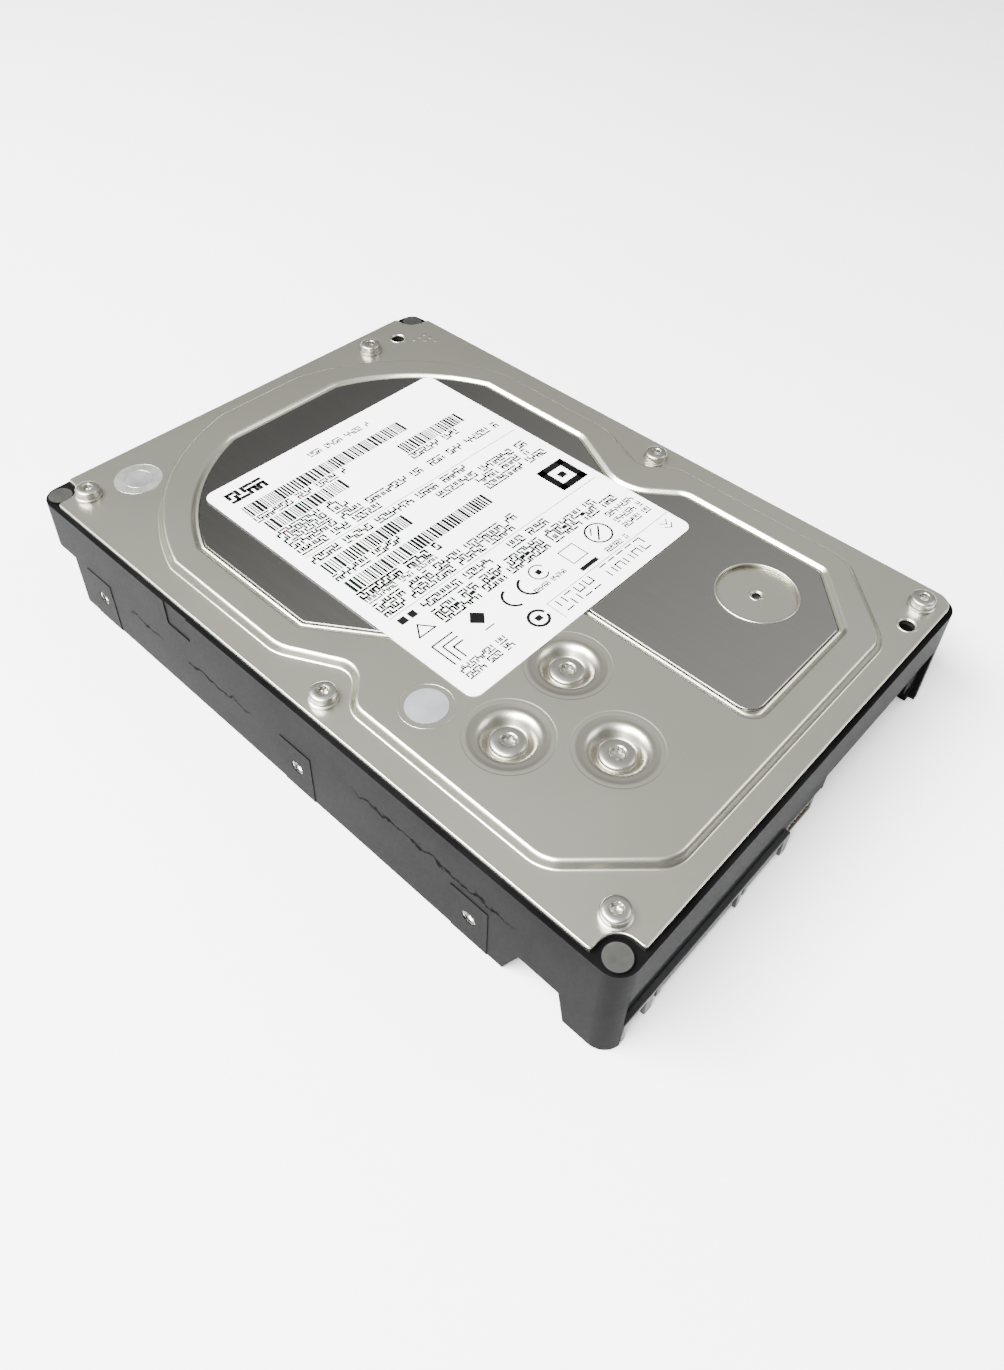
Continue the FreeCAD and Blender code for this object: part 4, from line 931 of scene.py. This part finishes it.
def framed(bits, x0, x1, y0, y1, wide=0.22):
    for ends in ((x0, y0, x1, y0), (x1, y0, x1, y1), (x1, y1, x0, y1), (x0, y1, x0, y0)):
        stroke(bits, *ends, wide)


# Lines of print as first x, last x, y and height, from the top of the label down.
TEXT_LINES = (
    (-6.8, 9.0, 43.5, 1.3), (-27, -4.5, 34.8, 1.5), (-27, -12.8, 28.5, 1.6), (7.8, 21.2, 28.5, 1.6),
    (-27, -11, 26.4, 1.6), (-27, 6, 24.2, 1.6), (8.8, 29, 24.2, 1.6), (-27, -7, 21.8, 1.6),
    (-27, 4.8, 18.4, 1.6), (6.8, 13, 18.4, 1.6), (2.8, 28, 15.5, 1.6), (11.7, 26.6, 13.1, 1.6),
    (11.7, 29, 10.7, 1.6), (-27, -11.3, 11.8, 1.6), (-27, -9.8, 3.3, 1.2), (-27, 8.8, 1.0, 1.6),
    (-27, 7.6, -1.1, 1.6), (-20.7, -3.5, -4.5, 1.6), (1.8, 13, -4.5, 1.6), (-20.7, 23.8, -7.3, 1.6),
    (-20.7, 27, -9.3, 1.6), (-4, 4.2, -16.3, 0.9), (13.7, 19.8, -18.5, 1.1), (21.8, 29.5, -12, 1.2),
    (21.8, 29.5, -14.2, 1.2), (21.8, 29.5, -16.4, 1.2), (-27, -15.5, -20, 1.2), (-27, -15.5, -21.8, 1.2))
BOLD_LINES = ((-26.7, -15, 43.4, 2.6, 0.80), (-27, -7.4, 5.2, 1.7, 0.50))
BARCODES = ((-27, 14.2, 36, 39.7), (-26.5, -7.8, 29.8, 33.4), (8, 25.2, 29.8, 33.4), (-26.8, -5.8, 13, 16.6),
            (-26.8, 9.5, 6.5, 10))


def label_print():
    bits = Bits()
    for first, last, y, tall in TEXT_LINES:
        text(bits, first, last, y, tall, 0.27 * tall)
    for first, last, y, tall, wide in BOLD_LINES:
        text(bits, first, last, y, tall, wide)
    for first, last, low, high in BARCODES:
        barcode(bits, first, last, low, high)
    for y, last in ((20.0, 29.5), (-2.7, 29.5)):
        stroke(bits, -27.2, y, last, y, 0.16)
    # a dark square that frames a pale one
    framed(bits, 22.5, 28.3, -0.3, 5.7, 1.7)
    bits.block(24.5, 26.3, 1.9, 3.5, LABEL, LABEL + PRINT_THICK)
    # small plain marks in rows: square, triangle, corner, wedge, arcs, rings and bin-like box with a bar
    bits.block(-26.6, -24.9, -5.3, -3.7, LABEL, LABEL + PRINT_THICK)
    bits.block(-24.2, -22.7, -5.3, -3.7, LABEL, LABEL + PRINT_THICK)
    for ends in ((-26.6, -9.6, -22.8, -9.6), (-22.8, -9.6, -24.7, -7.0), (-24.7, -7.0, -26.6, -9.6)):
        stroke(bits, *ends, 0.34)
    for inset in (0.0, 1.3, 2.6):
        stroke(bits, -26.6 + inset, -18.2, -26.6 + inset, -12.6 - inset, 0.36)
        stroke(bits, -26.6 + inset, -12.6 - inset, -21.8, -12.6 - inset, 0.36)
    bits.prism([(-16.2, -15.2), (-14.4, -13.3), (-16.2, -11.4), (-18.0, -13.3)], LABEL, LABEL + PRINT_THICK)
    stroke(bits, -17.2, -16.4, -15.2, -16.4, 0.3)
    for x in (-7.6, -3.4):
        ring(bits, x, -14.4, 2.6, 0.55, 100, 260)
    ring(bits, 0.2, -13.2, 2.0, 0.32, 20, 320)
    bits.block(-0.4, 0.8, -13.8, -12.6, LABEL, LABEL + PRINT_THICK)
    framed(bits, 6.6, 10.6, -16.4, -12.4, 0.26)
    bits.block(6.2, 10.9, -19.0, -18.0, LABEL, LABEL + PRINT_THICK)
    ring(bits, 16.6, -14.1, 2.9, 0.42)
    stroke(bits, 15.2, -15.4, 18.0, -12.8, 0.4)
    stroke(bits, 15.0, -13.6, 16.4, -12.2, 0.3)
    ring(bits, -8.6, -21.1, 2.2, 0.6, 10, 350)
    bits.block(-9.3, -7.9, -21.7, -20.5, LABEL, LABEL + PRINT_THICK)
    # boxed line along the label's lower edge
    stroke(bits, -5.0, -19.8, 31.0, -19.8, 0.16)
    stroke(bits, -5.0, -19.8, -5.0, -24.5, 0.16)
    text(bits, -3.4, 25.5, -22.0, 3.0, 0.34)
    for tip in (-23.2, -21.9):
        stroke(bits, 27.0, tip + 0.9, 28.0, tip, 0.26)
        stroke(bits, 28.0, tip, 29.0, tip + 0.9, 0.26)
    piece = bits.made("label_print", INK, sharp=0)


label_print()


# ------------------------------------------------------------------ underside

def parts_of(source):
    """The boxes of a node's separate solids, as lowest and highest corners in millimetres."""
    form = bmesh.new()
    form.from_mesh(NODES[source].data)
    bmesh.ops.remove_doubles(form, verts=form.verts, dist=0.002 * MM)
    left = set(form.verts)
    boxes = []
    while left:
        group, queue = [], [left.pop()]
        while queue:
            spot = queue.pop()
            group.append(spot.co / MM)
            for edge in spot.link_edges:
                other = edge.other_vert(spot)
                if other in left:
                    left.remove(other)
                    queue.append(other)
        low = Vector(min(point[i] for point in group) for i in range(3))
        high = Vector(max(point[i] for point in group) for i in range(3))
        boxes.append((low, high))
    form.free()
    return sorted(boxes, key=lambda pair: tuple(round(value, 3) for value in pair[0]))


def leads():
    """Gull-wing leads round the chips, and bright end caps on the small components."""
    bits = Bits()
    under = corner("circuit_board", 0).z

    def lead(x, y, out_x, out_y, low):
        """One lead from a package's side, out and up to the board's face."""
        half = 0.13
        wide = Vector((abs(out_y), abs(out_x))) * half
        out = Vector((out_x, out_y))
        foot = Vector((x, y))
        for near, far, bottom, top in ((0.0, 0.5, low, low + 0.16), (0.36, 0.52, low, under),
                                       (0.4, 1.0, under - 0.16, under)):
            a, b = foot + out * near, foot + out * far
            bits.block(min(a.x, b.x) - wide.x, max(a.x, b.x) + wide.x, min(a.y, b.y) - wide.y,
                       max(a.y, b.y) + wide.y, bottom, top)

    for source, pitch, sides in (("controller_chip", 0.6, "xy"), ("memory_chip", 0.8, "y"),
                                 ("motor_driver_chip", 0.65, "xy")):
        low, high = corner(source, 0), corner(source, 1)
        level = (low.z + high.z) / 2 - 0.1
        for axis in sides:
            first, last = (low.y, high.y) if axis == "x" else (low.x, high.x)
            count = int((last - first - 1.2) / pitch)
            start = (first + last) / 2 - (count - 1) * pitch / 2
            for i in range(count):
                at = start + i * pitch
                if axis == "x":
                    lead(low.x, at, -1, 0, level)
                    lead(high.x, at, 1, 0, level)
                else:
                    lead(at, low.y, 0, -1, level)
                    lead(at, high.y, 0, 1, level)
    for low, high in parts_of("small_components"):
        size = high - low
        if max(size.x, size.y) > 6:
            continue
        skin = 0.03
        share = 0.24
        if size.x >= size.y:
            for x0, x1 in ((low.x, low.x + share * size.x), (high.x - share * size.x, high.x)):
                bits.block(x0 - skin, x1 + skin, low.y - skin, high.y + skin, low.z - skin, under)
        else:
            for y0, y1 in ((low.y, low.y + share * size.y), (high.y - share * size.y, high.y)):
                bits.block(low.x - skin, high.x + skin, y0 - skin, y1 + skin, low.z - skin, under)
    piece = bits.made("solder_and_leads", SOLDER, sharp=0)


def board_pads():
    """Gold test pads, screw lands and pin-one dots on the board's lower face."""
    bits = Bits()
    under = corner("circuit_board", 0).z

    def land(x, y, radius, thick=0.03):
        bits.rings([circle(x, y, radius, under + 0.02, count=18), circle(x, y, radius, under - thick, count=18)])

    for x, y in BOARD_SCREWS:
        bead(bits, (x, y), 2.35, 0.3, under, around=40, section=8, flat=0.12)
    for column in range(9):
        for row in range(3):
            land(-34 + 1.9 * column, -20.5 - 1.9 * row, 0.55)
    for column in range(6):
        land(14 + 2.2 * column, -44.5, 0.6)
        land(14 + 2.2 * column, -46.7, 0.6)
    for i in range(12):
        land(-20 + 2.4 * i, -58.6, 0.42)
    for i in range(7):
        land(34.2, -48 + 3.1 * i, 0.5)
    piece = bits.made("board_pads", MATERIALS["contact_gold"], sharp=40)
    dots = Bits()
    for source in ("controller_chip", "memory_chip", "motor_driver_chip"):
        low = corner(source, 0)
        dots.rings([circle(low.x + 1.3, low.y + 1.3, 0.45, low.z + 0.05, count=24),
                    circle(low.x + 1.3, low.y + 1.3, 0.45, low.z - 0.01, count=24)])
    piece = dots.made("pin_marks", PIN_MARK, sharp=40)


leads()
board_pads()


# ------------------------------------------------------------------ camera, light and floor

FRAME_SIZE = (1004, 1370)                  # width and height of the picture's frame
FOCAL = 1089                               # focal length in the same units
SENSOR = 36.0                              # millimetres on the picture's long side


def camera():
    place = Vector((-113.9, -105.0, 162.85)) * MM
    aim = Vector((8.13, -2.42, 13.25)) * MM
    roll = math.radians(3.14)
    lens = bpy.data.cameras.new("view")
    lens.sensor_width = SENSOR
    lens.lens = FOCAL * SENSOR / max(FRAME_SIZE)
    lens.shift_x = -0.01416
    lens.shift_y = -0.08285
    lens.clip_start, lens.clip_end = 0.005, 20
    back = (place - aim).normalized()
    right = Vector((0, 0, 1)).cross(back).normalized()
    up = back.cross(right)
    right, up = right * math.cos(roll) + up * math.sin(roll), up * math.cos(roll) - right * math.sin(roll)
    item = bpy.data.objects.new("camera", lens)
    item.matrix_world = Matrix.Translation(place) @ Matrix((right, up, back)).transposed().to_4x4()
    bpy.context.scene.collection.objects.link(item)
    bpy.context.scene.camera = item


def softbox(name, direction, reach, size, power, colour=(1, 1, 1)):
    """A square area light that faces the drive from a direction, at a reach in metres."""
    lamp = bpy.data.lights.new(name, "AREA")
    lamp.shape = "RECTANGLE"
    lamp.size, lamp.size_y = size
    lamp.energy = power
    lamp.color = colour
    item = bpy.data.objects.new(name, lamp)
    place = Vector(direction).normalized() * reach
    item.location = place
    item.rotation_euler = place.to_track_quat("Z", "Y").to_euler()
    bpy.context.scene.collection.objects.link(item)


def sky():
    """Soft studio surroundings, brightest up to the right, dim on the left and near the horizon."""
    world = bpy.data.worlds.new("studio")
    world.use_nodes = True
    bpy.context.scene.world = world
    tree = world.node_tree
    ground = tree.nodes["Background"]
    direction = node(tree, "ShaderNodeTexCoord").outputs["Generated"]
    facing = node(tree, "ShaderNodeVectorMath", {0: direction, 1: (0.55, 0.10, 0.83)},
                  operation="DOT_PRODUCT").outputs["Value"]
    tone = blended(tree, spread(tree, facing, 0, 1, 0.42, 1.02), (0.20, 0.20, 0.20), (1.0, 1.0, 1.0))
    height = node(tree, "ShaderNodeSeparateXYZ", {"Vector": direction}).outputs["Z"]
    tone = blended(tree, spread(tree, height, 0, 1, 0.18, 0.52), (0.14, 0.14, 0.14), tone)
    tree.links.new(tone, ground.inputs["Color"])
    ground.inputs["Strength"].default_value = 0.85


def floor():
    reach = 1.6
    mesh = bpy.data.meshes.new("floor")
    mesh.from_pydata([(-reach, -reach, 0), (reach, -reach, 0), (reach, reach, 0), (-reach, reach, 0)], [],
                     [(0, 1, 2, 3)])
    mesh.materials.append(surface("pale_floor", (0.90, 0.90, 0.90), (0.93, 0.93, 0.93), (0.6, 0.7), 0.0,
                                  grain=60.0, relief=0.0, patches=3.0))
    item = bpy.data.objects.new("floor", mesh)
    item.location.z = -0.0002
    bpy.context.scene.collection.objects.link(item)


camera()
sky()
floor()
softbox("key", (-0.52, 0.14, 0.84), 0.9, (1.00, 0.42), 74)
softbox("far_left", (-0.38, 0.68, 0.62), 1.0, (0.70, 0.50), 4)
softbox("near_right", (0.55, -0.50, 0.67), 1.0, (0.50, 0.40), 3.5)
